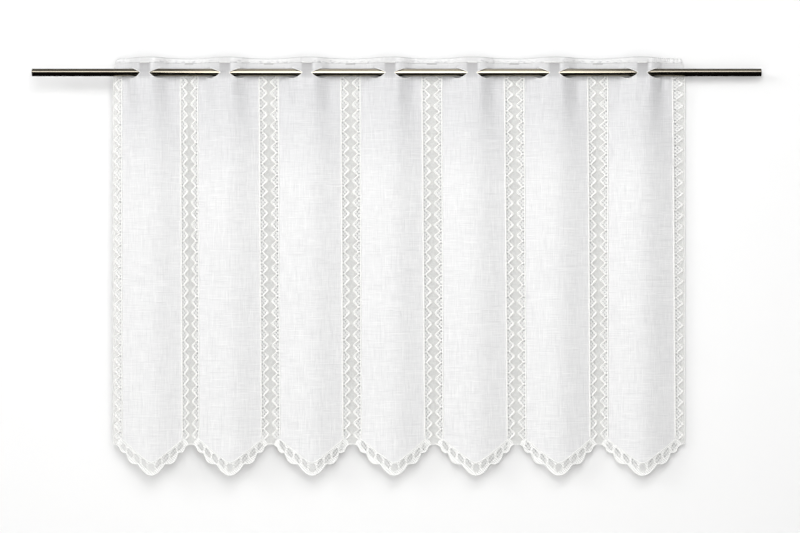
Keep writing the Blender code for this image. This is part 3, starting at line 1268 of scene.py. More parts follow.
@dataclass(frozen=True)
class LaceStrips:
    """The lace strips between the panels: a zigzag cord on each side of a sheer lozenge column, and
    fine net between each zigzag and the panel's cord. Real net has about five holes to a zigzag's
    period, and is drawn coarser, with three and a thicker thread, because it vanishes otherwise.
    Sizes in metres."""

    cloth: HungCloth
    first_tips: tuple[float, ...] = tuple(
        tip * MM for tip in (-31.4, -28.8, -28.5, -28.5, -28.9, -28.4, -28.2, -29.5)
    )
    slips: tuple[Slip, ...] = (
        Slip(1.5, 2.4, 2.0),
        Slip(0.9, 0.2, 2.9),
        Slip(0.9, -0.2, 2.3),
        Slip(2.4, 0.2, 2.2),
        Slip(4.3, 1.0, 1.9),
        Slip(4.1, 0.3, 1.3),
        Slip(1.7, 0.5, 2.1),
        Slip(2.0, 1.9, 1.9),
    )
    period: float = 15.75 * MM
    inner_turn: float = 3.7 * MM
    tip_clearance: float = 2.7 * MM
    sharpness: float = 0.85
    top: float = 5.0 * MM
    foot: float = -525.0 * MM
    steps_per_period: int = 10
    steps_spare: int = 4
    net_pitch: float = 4.2 * MM
    net_thread: float = 0.96 * MM
    holes_per_period: int = 3
    net_reach: int = 8
    nominal_reach: float = 10.0 * MM

    @property
    def hole_height(self) -> float:
        """The height of a hole of the net, from knot to knot."""
        return self.period / self.holes_per_period

    def halves(self) -> list[HalfStrip]:
        """Return all the half strips, from left to right.

        Returns:
            The half strips.
        """
        found = []
        for number, (tip, slip) in enumerate(zip(self.first_tips, self.slips)):
            if number > 0:
                found.append(HalfStrip(number - 1, 1, tip, slip))
            if number < len(self.cloth.panels):
                found.append(HalfStrip(number, -1, tip, slip))
        return found

    def slipped(self, half: HalfStrip, z: float) -> float:
        """The height that a half strip's knit has slipped to from this height."""
        return z - half.slip.at(self.cloth.drop_share(z))

    def cord(self, half: HalfStrip, z: float) -> float:
        """Where the cord beside a half strip runs at this height."""
        panel = self.cloth.panels[half.panel]
        return self.cloth.left_cord(panel, z) if half.side < 0 else self.cloth.right_cord(panel, z)

    def reach(self, half: HalfStrip, z: float) -> float:
        """How far the zigzag's tips reach from the cord at this height."""
        trough = self.cloth.troughs(z)[half.trough]
        return abs(trough - self.cord(half, z)) - self.tip_clearance

    def offset(self, half: HalfStrip, z: float) -> float:
        """How far the zigzag runs from the cord at this height.

        Args:
            half: the half strip.
            z: the height.

        Returns:
            The distance.
        """
        turn = 2 * math.pi * (z + half.slip.at(self.cloth.drop_share(z)) - half.first_tip) / self.period
        share = (1 + rounded_zigzag(turn, self.sharpness)) / 2
        return between(self.inner_turn, self.reach(half, z), share)

    def zigzag(self, half: HalfStrip) -> Line:
        """Return the line of a half strip's zigzag, from behind the rod down to the cord's foot.

        Args:
            half: the half strip.

        Returns:
            The line, from its top down.
        """
        step = self.period / self.steps_per_period
        highest = math.ceil((self.top - half.first_tip) / step) + self.steps_spare
        lowest = math.floor((self.foot - half.first_tip) / step) - self.steps_spare
        numbers = range(highest, lowest, -1)
        heights = [self.slipped(half, half.first_tip + step * number) for number in numbers]
        within = [z for z in heights if self.foot + step / 4 < z < self.top - step / 4]
        return [
            (self.cord(half, z) + half.side * self.offset(half, z), z)
            for z in [self.top, *within, self.foot]
        ]

    def joints(self, half: HalfStrip) -> list[Line]:
        """Return the short joints between a half strip's zigzag and its cord, at the near tips.

        Args:
            half: the half strip.

        Returns:
            A line of two points for each joint.
        """
        highest = math.ceil((self.top - half.first_tip) / self.period)
        lowest = math.floor((self.foot - half.first_tip) / self.period)
        found = []
        for number in range(highest, lowest, -1):
            z = self.slipped(half, half.first_tip + self.period * (number + 0.5))
            if self.foot < z < self.top:
                cord = self.cord(half, z)
                found.append([(cord, z), (cord + half.side * self.offset(half, z), z)])
        return found

    def net_tile(self) -> bmesh.types.BMesh:
        """Make one period of net, flat: X runs from the cord and Z along it, with the tip at 0.

        Returns:
            The net of one period of a half strip.
        """
        tile = make_net(self.net_pitch, self.hole_height, self.net_thread, self.net_reach)
        half_period = self.period / 2
        middle = (self.inner_turn + self.nominal_reach) / 2
        tip = middle + half_period / 2
        foot = middle - half_period / 2
        outline = [
            (0.0, half_period),
            (0.0, -half_period),
            (foot, -half_period),
            (tip, 0.0),
            (foot, half_period),
        ]
        clip_to(tile, outline)
        clip(tile, (self.nominal_reach, 0.0, 0.0), (1.0, 0.0, 0.0))
        return tile

    def net(self) -> bmesh.types.BMesh:
        """Make the net of all the strips, flat in front view.

        Returns:
            The net, without finish.
        """
        tile = bpy.data.meshes.new("net tile")
        one = self.net_tile()
        one.to_mesh(tile)
        one.free()
        net = bmesh.new()
        for half in self.halves():
            above = math.ceil((self.top - half.first_tip) / self.period) + 1
            below = math.ceil((half.first_tip - self.foot) / self.period)
            for number in range(above, -below - 1, -1):
                start = len(net.verts)
                net.from_mesh(tile)
                net.verts.ensure_lookup_table()
                for vert in net.verts[start:]:
                    z = self.slipped(half, half.first_tip + number * self.period + vert.co.z)
                    away = vert.co.x / self.nominal_reach * self.reach(half, z)
                    vert.co = (self.cord(half, z) + half.side * away, 0.0, z)
        bpy.data.meshes.remove(tile)
        bmesh.ops.remove_doubles(net, verts=net.verts, dist=WELD_DISTANCE)
        clip(net, (0.0, 0.0, self.top), (0.0, 0.0, 1.0))
        clip(net, (0.0, 0.0, self.foot), (0.0, 0.0, -1.0))
        return net


def make_net(across: float, along: float, thread: float, reach: int) -> bmesh.types.BMesh:
    """Make a flat patch of diamond net in the XZ plane, around the origin.

    Args:
        across: a hole's width, from knot to knot.
        along: a hole's height, from knot to knot.
        thread: the thread's width.
        reach: how many holes the patch reaches from its middle to each side.

    Returns:
        The net, with flat threads.
    """
    net = bmesh.new()
    count = 2 * reach
    bmesh.ops.create_grid(net, x_segments=count, y_segments=count, size=reach)
    holes = list(net.faces)
    share = thread / math.hypot(across, along)
    bmesh.ops.inset_individual(net, faces=holes, thickness=share, use_even_offset=True)
    bmesh.ops.delete(net, geom=holes, context="FACES")
    turned = Matrix.Rotation(math.radians(45), 4, "Z")
    bmesh.ops.rotate(net, verts=net.verts, cent=(0, 0, 0), matrix=turned)
    bmesh.ops.scale(net, verts=net.verts, vec=(across / math.sqrt(2), along / math.sqrt(2), 1))
    upright = Matrix.Rotation(math.radians(90), 4, "X")
    bmesh.ops.rotate(net, verts=net.verts, cent=(0, 0, 0), matrix=upright)
    return net


@dataclass(frozen=True)
class LaceBorder:
    """The lace border under each panel: a bright line under the linen's pointed end, net-filled cells
    beside each other, and the dense rim around them. Sizes in metres, and the cells' spacing as a
    share of the panel's width at its foot."""

    cloth: HungCloth
    line_foot: float = -526.2 * MM
    line_apex: float = -563.3 * MM
    line_rounding: float = 6.16 * MM
    line_steps: int = 14
    cell_heights: tuple[float, ...] = tuple(
        height * MM for height in (-565.2, -559.2, -552.3, -544.6, -534.8)
    )
    cell_spacing: float = 0.1195
    cell_half_width: float = 4.3 * MM
    cell_half_height: float = 5.9 * MM
    tip_cell_half_width: float = 4.7 * MM
    tip_cell_half_height: float = 6.0 * MM
    cell_slant: float = 0.5
    cell_squareness: float = 3.0
    cell_points: int = 16
    net_thread: float = 0.68 * MM
    net_reach: int = 4
    shoulder: tuple[Point, ...] = tuple(
        (away * MM, height * MM)
        for away, height in ((0, -523.0), (3.6, -525.0), (6.6, -528.0), (9.0, -533.4))
    )

    def linen_end(self, panel: Panel, x: float) -> float:
        """The height of the line under a panel's linen.

        Args:
            panel: the panel.
            x: the place along the rod.

        Returns:
            The height.
        """
        foot = panel.left_foot if x < panel.tip else panel.right_foot
        away = min(abs(x - panel.tip) / abs(foot - panel.tip), 1.0)
        rounding = self.line_rounding / abs(foot - panel.tip)
        return between(self.line_apex, self.line_foot, math.hypot(away, rounding))

    def line(self, panel: Panel) -> Line:
        """Return the line under a panel's linen, from its left cord's foot to its right one's.

        Args:
            panel: the panel.

        Returns:
            The line, from left to right.
        """
        falling = steps(panel.left_foot, panel.tip, self.line_steps)
        rising = steps(panel.tip, panel.right_foot, self.line_steps)
        return [(x, self.linen_end(panel, x)) for x in [*falling, *rising[1:]]]

    def cells(self, panel: Panel) -> list[Line]:
        """Return the outline of each net-filled cell of a panel, anticlockwise.

        Args:
            panel: the panel.

        Returns:
            The outlines, from left to right.
        """
        pitch = self.cell_spacing * (panel.right_foot - panel.left_foot)
        power = 2 / self.cell_squareness
        outermost = len(self.cell_heights) - 1
        found = []
        for number in range(-outermost, outermost + 1):
            side = (number > 0) - (number < 0)
            middle = panel.tip + number * pitch
            height = self.cell_heights[abs(number)]
            half_width = self.cell_half_width if number else self.tip_cell_half_width
            half_height = self.cell_half_height if number else self.tip_cell_half_height
            points = []
            for turn in steps(0, 2 * math.pi, self.cell_points)[:-1]:
                across = half_width * signed_power(math.cos(turn), power)
                up = half_height * signed_power(math.sin(turn), power)
                points.append((middle + across, height + up + side * self.cell_slant * across))
            found.append(points)
        return found

    def shoulder_line(self, half: HalfStrip) -> Line:
        """Return the upper edge of the dense knit beside a cord's foot, out to the notch.

        Args:
            half: the half strip.

        Returns:
            The line, from the cord outwards.
        """
        panel = self.cloth.panels[half.panel]
        foot = panel.left_foot if half.side < 0 else panel.right_foot
        edges = self.cloth.left_selvedge, self.cloth.right_selvedge
        return [(min(max(foot + half.side * away, edges[0]), edges[1]), z) for away, z in self.shoulder]

    def shoulder_height(self, away: float) -> float:
        """The height of the dense knit's upper edge, this far outside a cord's foot.

        Args:
            away: the distance from the cord's foot.

        Returns:
            The height, endlessly low beyond the notch.
        """
        for (near, upper), (far, lower) in zip(self.shoulder, self.shoulder[1:]):
            if away <= far:
                return between(upper, lower, (away - near) / (far - near))
        return -math.inf

    def net(self, pitch: float, along: float) -> bmesh.types.BMesh:
        """Make the net that fills the cells, flat in front view.

        Args:
            pitch: a hole's width.
            along: a hole's height.

        Returns:
            The net, without finish.
        """
        net = bmesh.new()
        for panel in self.cloth.panels:
            for cell in self.cells(panel):
                patch = make_net(pitch, along, self.net_thread, self.net_reach)
                x, z = (sum(values) / len(cell) for values in zip(*cell))
                bmesh.ops.translate(patch, verts=patch.verts, vec=(x, 0.0, z))
                clip_to(patch, cell)
                join(net, patch)
        return net


class Ground(Enum):
    """The kinds of ground in the cloth. The first three are also the numbers of its materials."""

    LINEN = 0
    SHEER = 1
    DENSE = 2
    OPEN = 3


@dataclass(frozen=True)
class KnittedGround:
    """The cloth's ground as one hung sheet: linen-look panels, sheer lozenges and the dense border,
    open where the net and the eyelets are. Below the hem its rows come in stretches, each given by
    its upper and lower height in mm and its number of rows."""

    cloth: HungCloth
    strips: LaceStrips
    border: LaceBorder
    panel_columns: int = 18
    strip_columns: int = 6
    heading_columns: int = 70
    heading_strip_columns: int = 18
    heading_foot: float = -45.0 * MM
    hem_row: float = 18.0 * MM
    rows_mm: tuple[tuple[float, float, int], ...] = (
        (14.2, -40.0, 32),
        (-40.0, -110.0, 14),
        (-110.0, -510.0, 50),
        (-510.0, -576.0, 22),
    )
    top_columns: int = 300
    clear_of_top: float = 1.0 * MM
    eyelet_points: int = 40
    clear_of_eyelet: float = 1.5 * MM

    def ground_at(self, x: float, z: float, cells: list[list[Line]]) -> Ground:
        """Say what is knitted at a place of the front view.

        Args:
            x: the place along the rod.
            z: its height.
            cells: the border's cells, by panel.

        Returns:
            The kind of ground.
        """
        if z > self.cloth.hem_line:
            return Ground.DENSE
        if z > self.strips.top:
            return Ground.LINEN
        number, _, _ = self.cloth.panel_at(x, z)
        panel = self.cloth.panels[number]
        left, right = self.cloth.left_cord(panel, z), self.cloth.right_cord(panel, z)
        if left < x < right:
            if z > self.border.linen_end(panel, x):
                return Ground.LINEN
            inside = any(inside_convex((x, z), cell) for cell in cells[number])
            return Ground.OPEN if inside else Ground.DENSE
        side = -1 if x < left else 1
        away = left - x if side < 0 else x - right
        if z < self.border.shoulder_height(away):
            return Ground.DENSE
        strip = number + (side > 0)
        half = HalfStrip(number, side, self.strips.first_tips[strip], self.strips.slips[strip])
        netted = away < self.strips.offset(half, z) and z > self.strips.foot
        return Ground.OPEN if netted else Ground.SHEER

    def heights(self) -> list[float]:
        """Return the heights of the sheet's rows, closer together at the heading and the border."""
        found = [z * MM for top, foot, count in self.rows_mm for z in steps(top, foot, count)[:-1]]
        return [self.hem_row, *found]

    def grid(self) -> Line:
        """Return the free points between the sheet's lines.

        Returns:
            The points.
        """
        points = []
        eyelets = self.cloth.eyelets()
        for z in self.heights():
            edges = self.cloth.troughs(z)
            cords = [
                cord(panel, z)
                for panel in self.cloth.panels
                for cord in (self.cloth.left_cord, self.cloth.right_cord)
            ]
            ends = [edges[0], *cords, edges[-1]]
            for number, (low, high) in enumerate(zip(ends, ends[1:])):
                count = self.panel_columns if number % 2 else self.strip_columns
                if z > self.heading_foot:
                    count = self.heading_columns if number % 2 else self.heading_strip_columns
                points += [(x, z) for x in steps(low, high, count)[1:-1]]
        return [
            (x, z)
            for x, z in points
            if self.inside(x, z) and not any(eye.holds(x, z, self.clear_of_eyelet) for eye in eyelets)
        ]

    def inside(self, x: float, z: float) -> bool:
        """Whether a grid point is clear of the top edge. The outline itself bounds the lower end."""
        return z < self.cloth.top_line(x) - self.clear_of_top

    def outline(self) -> Line:
        """Return the cloth's outline, anticlockwise from the top of its left selvedge.

        Returns:
            The closed line.
        """
        left, right = self.cloth.top_corners()
        rows = [z for z in self.heights() if self.cloth.scallop_start < z < self.cloth.hem_line - HAIR]
        across = steps(left[-1][0], right[-1][0], self.top_columns)[1:-1]
        return [
            *reversed(left),
            *((self.cloth.left_edge(z), z) for z in rows),
            *self.cloth.scalloped_edge(),
            *((self.cloth.right_edge(z), z) for z in reversed(rows)),
            *right,
            *((x, self.cloth.top_line(x)) for x in reversed(across)),
        ]

    def lines(self) -> list[tuple[Line, bool]]:
        """Return every line that the sheet's edges follow, and whether it closes on itself.

        Returns:
            The lines, each with True where it closes.
        """
        found = [(self.outline(), True)]
        found += [(eye.edge(self.eyelet_points), True) for eye in self.cloth.eyelets()]
        foot, top = self.border.shoulder[0][1], self.strips.top
        rows = [*(z for z in self.heights() if foot < z <= self.cloth.hem_line), foot]
        for half in self.strips.halves():
            found.append((self.strips.zigzag(half), False))
            found.append(([(self.strips.cord(half, z), z) for z in rows], False))
            ends = self.strips.cord(half, top), self.cloth.troughs(top)[half.trough]
            found.append(([(x, top) for x in ends], False))
            found.append((self.border.shoulder_line(half), False))
        for panel in self.cloth.panels:
            found.append((self.border.line(panel), False))
            found += [(cell, True) for cell in self.border.cells(panel)]
        return found

    def build(
        self, linen: bpy.types.Material, sheer: bpy.types.Material, dense: bpy.types.Material
    ) -> bpy.types.Object:
        """Build the sheet.

        Args:
            linen: the panels' material.
            sheer: the lozenges' material.
            dense: the border's material.

        Returns:
            The new piece.
        """
        points: list[Vector] = []
        edges: list[tuple[int, int]] = []
        for line, closed in self.lines():
            first = len(points)
            points += [Vector(point) for point in line]
            numbers = list(range(first, len(points)))
            edges += zip(numbers, numbers[1:])
            if closed:
                edges.append((numbers[-1], numbers[0]))
        points += [Vector(point) for point in self.grid()]
        # One triangulation follows all the cords, cells and eyelets, which no plain grid would.
        places, _, faces, _, _, _ = delaunay_2d_cdt(points, edges, [], 1, MERGE_DISTANCE)

        eyelets = self.cloth.eyelets()
        cells = [self.border.cells(panel) for panel in self.cloth.panels]
        mesh = bmesh.new()
        verts = [mesh.verts.new((place.x, 0.0, place.y)) for place in places]
        for face in faces:
            middle = sum((places[number] for number in face), Vector((0, 0))) / len(face)
            if any(eye.holds(middle.x, middle.y) for eye in eyelets):
                continue
            ground = self.ground_at(middle.x, middle.y, cells)
            if ground is not Ground.OPEN:
                mesh.faces.new([verts[number] for number in face]).material_index = ground.value
        loose = [vert for vert in mesh.verts if not vert.link_faces]
        bmesh.ops.delete(mesh, geom=loose, context="VERTS")
        # Painted shade about the rod, for the linen's colour.
        drawn = mesh.verts.layers.float.new(SHADE_ABOUT_ROD)
        for vert in mesh.verts:
            vert[drawn] = self.cloth.drawn(vert.co.x, vert.co.z)
        hang_mesh(mesh, self.cloth.hang)
        return add_piece("knitted_ground", mesh, linen, sheer, dense)


@dataclass(frozen=True)
class LaceNet:
    """The fine net of the strips and of the border's cells."""

    cloth: HungCloth
    strips: LaceStrips
    border: LaceBorder

    def build(self, finish: bpy.types.Material) -> bpy.types.Object:
        """Build the net and return it as a piece.

        Args:
            finish: the thread's material.

        Returns:
            The new piece.
        """
        net = self.strips.net()
        join(net, self.border.net(self.strips.net_pitch, self.strips.hole_height))
        hang_mesh(net, self.cloth.hang)
        return add_piece("lace_net", net, finish)


@dataclass(frozen=True)
class LaceCords:
    """The cords knitted into the cloth: two along each panel, the zigzags with the short joints that
    tie their near tips to them, and the selvedges. All sizes are radii, in metres."""

    cloth: HungCloth
    strips: LaceStrips
    border: LaceBorder
    panel_cord: float = 1.2 * MM
    zigzag: float = 1.2 * MM
    last_zigzag: float = 0.75 * MM
    joint: float = 1.4 * MM
    selvedge: float = 0.55 * MM
    panel_cord_steps: int = 180
    sides: int = 6

    def strands(self) -> list[Strand]:
        """Return all the cords' lines.

        Returns:
            The cords.
        """
        found = []
        top, foot = self.strips.top, self.border.shoulder[0][1]
        for half in self.strips.halves():
            heights = steps(top, foot, self.panel_cord_steps)
            found.append(Strand([(self.strips.cord(half, z), z) for z in heights], self.panel_cord))
            last = half.side > 0 and half.panel == len(self.cloth.panels) - 1
            found.append(Strand(self.strips.zigzag(half), self.last_zigzag if last else self.zigzag))
            found += [Strand(line, self.joint) for line in self.strips.joints(half)]
        heights = steps(self.cloth.hem_line, self.cloth.scallop_start, self.panel_cord_steps)
        for edge, inward in ((self.cloth.left_edge, 1), (self.cloth.right_edge, -1)):
            line = [(edge(z) + inward * self.selvedge, z) for z in heights]
            found.append(Strand(line, self.selvedge))
        return found

    def build(self, finish: bpy.types.Material) -> bpy.types.Object:
        """Build the cords and return them as one piece."""
        return sweep("lace_cords", self.strands(), self.cloth.hang, self.sides, finish)


@dataclass(frozen=True)
class BorderEdging:
    """The raised yarns of the border: its scalloped edge, the line under the linen, and the rims of
    the net-filled cells."""

    cloth: HungCloth
    border: LaceBorder
    edge: float = 0.75 * MM
    edge_inset: float = 0.6 * MM
    line: float = 0.65 * MM
    cell_rim: float = 0.35 * MM
    sides: int = 6

    def inset_edge(self) -> Line:
        """Return the scalloped edge, moved a little into the cloth.

        Returns:
            The line, from left to right.
        """
        points = self.cloth.scalloped_edge()
        found = []
        for number, (x, z) in enumerate(points):
            before = points[max(number - 1, 0)]
            after = points[min(number + 1, len(points) - 1)]
            run, rise = after[0] - before[0], after[1] - before[1]
            length = math.hypot(run, rise)
            found.append((x - rise / length * self.edge_inset, z + run / length * self.edge_inset))
        return found

    def build(self, finish: bpy.types.Material) -> bpy.types.Object:
        """Build the edging and return it as one piece.

        Args:
            finish: the yarns' material.

        Returns:
            The new piece.
        """
        strands = [Strand(self.inset_edge(), self.edge)]
        for panel in self.cloth.panels:
            strands.append(Strand(self.border.line(panel), self.line))
            strands += [Strand(cell, self.cell_rim, closed=True) for cell in self.border.cells(panel)]
        return sweep("border_edging", strands, self.cloth.hang, self.sides, finish)


@dataclass(frozen=True)
class EyeletStitching:
    """The satin stitches round every eyelet, each stitch a small bulge of the rim, and the stitched
    bar that stays the hem above each bridge, with half its length by panel."""

    cloth: HungCloth
    bars: tuple[float, ...] = (6.5 * MM, 7.5 * MM, 7.0 * MM, 7.0 * MM, 6.5 * MM, 14.0 * MM, 7.0 * MM)
    bar_radius: float = 0.8 * MM
    bar_points: int = 30
    radius: float = 0.55 * MM
    outside: float = 0.45 * MM
    bulge: float = 0.12
    points: int = 160
    sides: int = 8
    bar_out: float = 1.1 * MM

    def in_front(self, x: float, z: float) -> Vector:
        """Hang a point of the stitching. The bars lie on the front of the folded hem.

        Args:
            x: the place along the rod.
            z: its height.

        Returns:
            The hung point.
        """
        place = self.cloth.hang(x, z)
        if z >= self.cloth.hem_line:
            place.y -= self.bar_out
        return place

    def build(self, finish: bpy.types.Material) -> bpy.types.Object:
        """Build the stitching and return it as one piece.

        Args:
            finish: the stitches' material.

        Returns:
            The new piece.
        """
        strands = [
            Strand(eyelet.edge(self.points, self.outside), self.radius, closed=True, swell=self.bulge)
            for eyelet in self.cloth.eyelets()
        ]
        for panel, half in zip(self.cloth.panels, self.bars):
            along = steps(panel.bridge - half, panel.bridge + half, self.bar_points)
            line = [(x, self.cloth.hem_line) for x in along]
            strands.append(Strand(line, self.bar_radius, swell=self.bulge))
        return sweep("eyelet_stitching", strands, self.in_front, self.sides, finish)


@dataclass(frozen=True)
class Ruffle:
    """Small upright ruffles of the hem round one place, in mm: its middle, its half width, the
    distance from ridge to ridge and the ridges' height."""

    x: float
    half_width: float
    pitch: float
    height: float

    def at(self, x: float) -> float:
        """Return how far the ruffles push the hem forwards at a place along the rod, in metres."""
        away = (x / MM - self.x) / self.half_width
        return self.height * MM * math.exp(-away * away) * math.sin(2 * math.pi * x / MM / self.pitch)


RUFFLES = (
    Ruffle(128, 10, 5.2, 0.5),
    Ruffle(904, 15, 3.2, 1.3),
    Ruffle(925, 12, 5.8, 0.7),
)


@dataclass(frozen=True)
class TopHem:
    """The narrow hem folded over at the top of the cloth: a soft flat roll with small ruffles and
    uneven waves. The lengths of the waves are in mm, and their heights are shares of the unevenness."""

    cloth: HungCloth
    ruffles: tuple[Ruffle, ...] = RUFFLES
    thickness: float = 1.4 * MM
    columns: int = 1100
    points: int = 12
    flatness: float = 0.5
    unevenness: float = 0.1 * MM
    wave_count: int = 9
    wave_lengths: Point = (4.0, 16.0)
    wave_heights: Point = (0.3, 1.0)
    left_gap: float = 1.2 * MM
    right_gap: float = 0.3 * MM
    lap: float = 0.6 * MM
    hem_shade_from: float = 5.0 * MM
    shade_fade: float = 9.0 * MM
    shade_fade_left: float = 30.0 * MM
    seed: int = 11

    def top(self, x: float) -> float:
        """The height of the hem's upper edge, with the rounded corners.

        Args:
            x: the place along the rod.

        Returns:
            The height.
        """
        height = self.cloth.top_line(x)
        corners = (
            (x - self.cloth.left_edge(self.cloth.top_edge), self.cloth.left_corner),
            (self.cloth.right_edge(self.cloth.top_edge) - x, self.cloth.right_corner),
        )
        for away, radius in corners:
            if away < radius:
                height -= radius - math.sqrt(max(radius * radius - (radius - away) ** 2, 0.0))
        return height

    def drawn(self, x: float) -> float:
        """How much painted shade the hem takes about a bridge, from 1 at its middle to 0 beside it,
        reaching further to the left.

        Args:
            x: the place along the rod.

        Returns:
            The share.
        """
        away = min((x - panel.bridge for panel in self.cloth.panels), key=abs)
        fade = self.shade_fade_left if away < 0 else self.shade_fade
        return 1 - ease((abs(away) - self.hem_shade_from) / fade)

    def waves(self) -> list[tuple[float, float, float]]:
        """Return the length, phase and height of the small uneven waves along the hem.

        Returns:
            The three values of each wave.
        """
        chance = random.Random(self.seed)
        return [
            (
                chance.uniform(*self.wave_lengths) * MM,
                chance.uniform(0, 2 * math.pi),
                chance.uniform(*self.wave_heights),
            )
            for _ in range(self.wave_count)
        ]

    def build(self, finish: bpy.types.Material) -> bpy.types.Object:
        """Build the hem and return it as one piece.

        Args:
            finish: the hem's material.

        Returns:
            The new piece.
        """
        low = self.cloth.left_edge(self.cloth.top_edge) + self.left_gap
        high = self.cloth.right_edge(self.cloth.top_edge) - self.right_gap
        waves = self.waves()
        mesh = bmesh.new()
        bmesh.ops.create_grid(mesh, x_segments=self.columns, y_segments=self.points, size=0.5)
        layer = mesh.loops.layers.uv.new(FLAT_MAP)
        up_hem = mesh.verts.layers.float.new(UP_HEM)
        # Painted shade over each bridge, for the hem's colour.
        drawn = mesh.verts.layers.float.new(SHADE_ABOUT_ROD)
        places = {}
        for vert in mesh.verts:
            x = between(low, high, vert.co.x + 0.5)
            turn = 2 * math.pi * (vert.co.y + 0.5)
            bottom, top = self.cloth.hem_line - self.lap, self.top(x)
            rise = (1 + signed_power(math.sin(turn), self.flatness)) / 2
            out = signed_power(math.cos(turn), self.flatness)
            z = between(bottom, top, rise)
            push = sum(size * math.sin(2 * math.pi * x / length + phase) for length, phase, size in waves)
            push = push * self.unevenness + sum(ruffle.at(x) for ruffle in self.ruffles)
            place = self.cloth.hang(x, z)
            place.y -= out * self.thickness / 2 + push * rise
            places[vert.index] = (x, z)
            vert[up_hem] = rise
            vert[drawn] = self.drawn(x)
            vert.co = place
        for face in mesh.faces:
            for loop in face.loops:
                loop[layer].uv = places[loop.vert.index]
        bmesh.ops.remove_doubles(mesh, verts=mesh.verts, dist=WELD_DISTANCE)
        ends = [edge for edge in mesh.edges if edge.is_boundary]
        bmesh.ops.holes_fill(mesh, edges=ends, sides=0)
        bmesh.ops.recalc_face_normals(mesh, faces=mesh.faces)
        return add_piece("top_hem", mesh, finish)


@dataclass(frozen=True)
class Rod:
    """The round rod, with its square-cut ends eased. Sizes in metres, and in degrees the least angle
    between two faces that shows as an edge."""

    length: float = 1044.0 * MM
    radius: float = 5.4 * MM
    eased: float = 0.25 * MM
    eased_steps: int = 3
    sides: int = 96
    sharp_from: float = 10.0

    def build(self, finish: bpy.types.Material) -> bpy.types.Object:
        """Build the rod and return it as a piece.

        Args:
            finish: the rod's material.

        Returns:
            The new piece.
        """
        mesh = bmesh.new()
        bmesh.ops.create_cone(
            mesh,
            segments=self.sides,
            radius1=self.radius,
            radius2=self.radius,
            depth=self.length,
            cap_ends=True,
        )
        lying = Matrix.Rotation(math.pi / 2, 4, "Y")
        bmesh.ops.rotate(mesh, verts=mesh.verts, cent=(0, 0, 0), matrix=lying)
        bmesh.ops.translate(mesh, verts=mesh.verts, vec=(self.length / 2, 0, 0))
        rims = [edge for edge in mesh.edges if edge.calc_face_angle() > math.radians(self.sharp_from)]
        bmesh.ops.bevel(
            mesh,
            geom=rims,
            offset=self.eased,
            affect="EDGES",
            segments=self.eased_steps,
            profile=0.5,
            material=-1,
        )
        piece = add_piece("round_rod", mesh, finish)
        piece.data.set_sharp_from_angle(angle=math.radians(self.sharp_from))
        return piece


# The stage, the lights and the camera.


VIEW_X = 0.5268
VIEW_Z = -0.2778


@dataclass(frozen=True)
class OvalLight:
    """A soft oval light: its width and height, its place, the point that it faces, its power in watts,
    and its roll in degrees. One that isn't on the cloth only shows in the rod, and one that isn't in
    the rod only lights the cloth."""

    name: str
    size: Point
    place: Place
    aim: Place
    watts: float
    roll: float = 0.0
    on_cloth: bool = True
    in_rod: bool = True

    def add(self) -> None:
        """Add the light to the scene."""
        data = bpy.data.lights.new(self.name, "AREA")
        data.shape = "ELLIPSE"
        data.size, data.size_y = self.size
        data.energy = self.watts
        light = bpy.data.objects.new(self.name, data)
        light.visible_camera = False
        light.visible_diffuse = self.on_cloth
        light.visible_glossy = self.in_rod
        light.location = self.place
        light.rotation_euler = (Vector(self.aim) - Vector(self.place)).to_track_quat("-Z", "Y").to_euler()
        if self.roll:
            light.rotation_euler.rotate_axis("Z", math.radians(self.roll))
        bpy.context.scene.collection.objects.link(light)


LIGHTS = (
    OvalLight("softbox", (1.12, 1.54), (VIEW_X, -2.4, 0.04), (VIEW_X, 0.0, 0.04), 33.3),
    OvalLight("strip box", (2.6, 1.25), (VIEW_X, -2.4, 1.4), (VIEW_X, 0.0, 1.4), 41.5, roll=22.0),
    OvalLight("overhead", (0.9, 1.0), (VIEW_X, -0.3, 1.6), (VIEW_X, 0.0, 0.0), 6.9, on_cloth=False),
    OvalLight("key", (2.6, 2.6), (-4.5, -2.6, 1.8), (VIEW_X, 0.0, VIEW_Z), 131.2, in_rod=False),
)


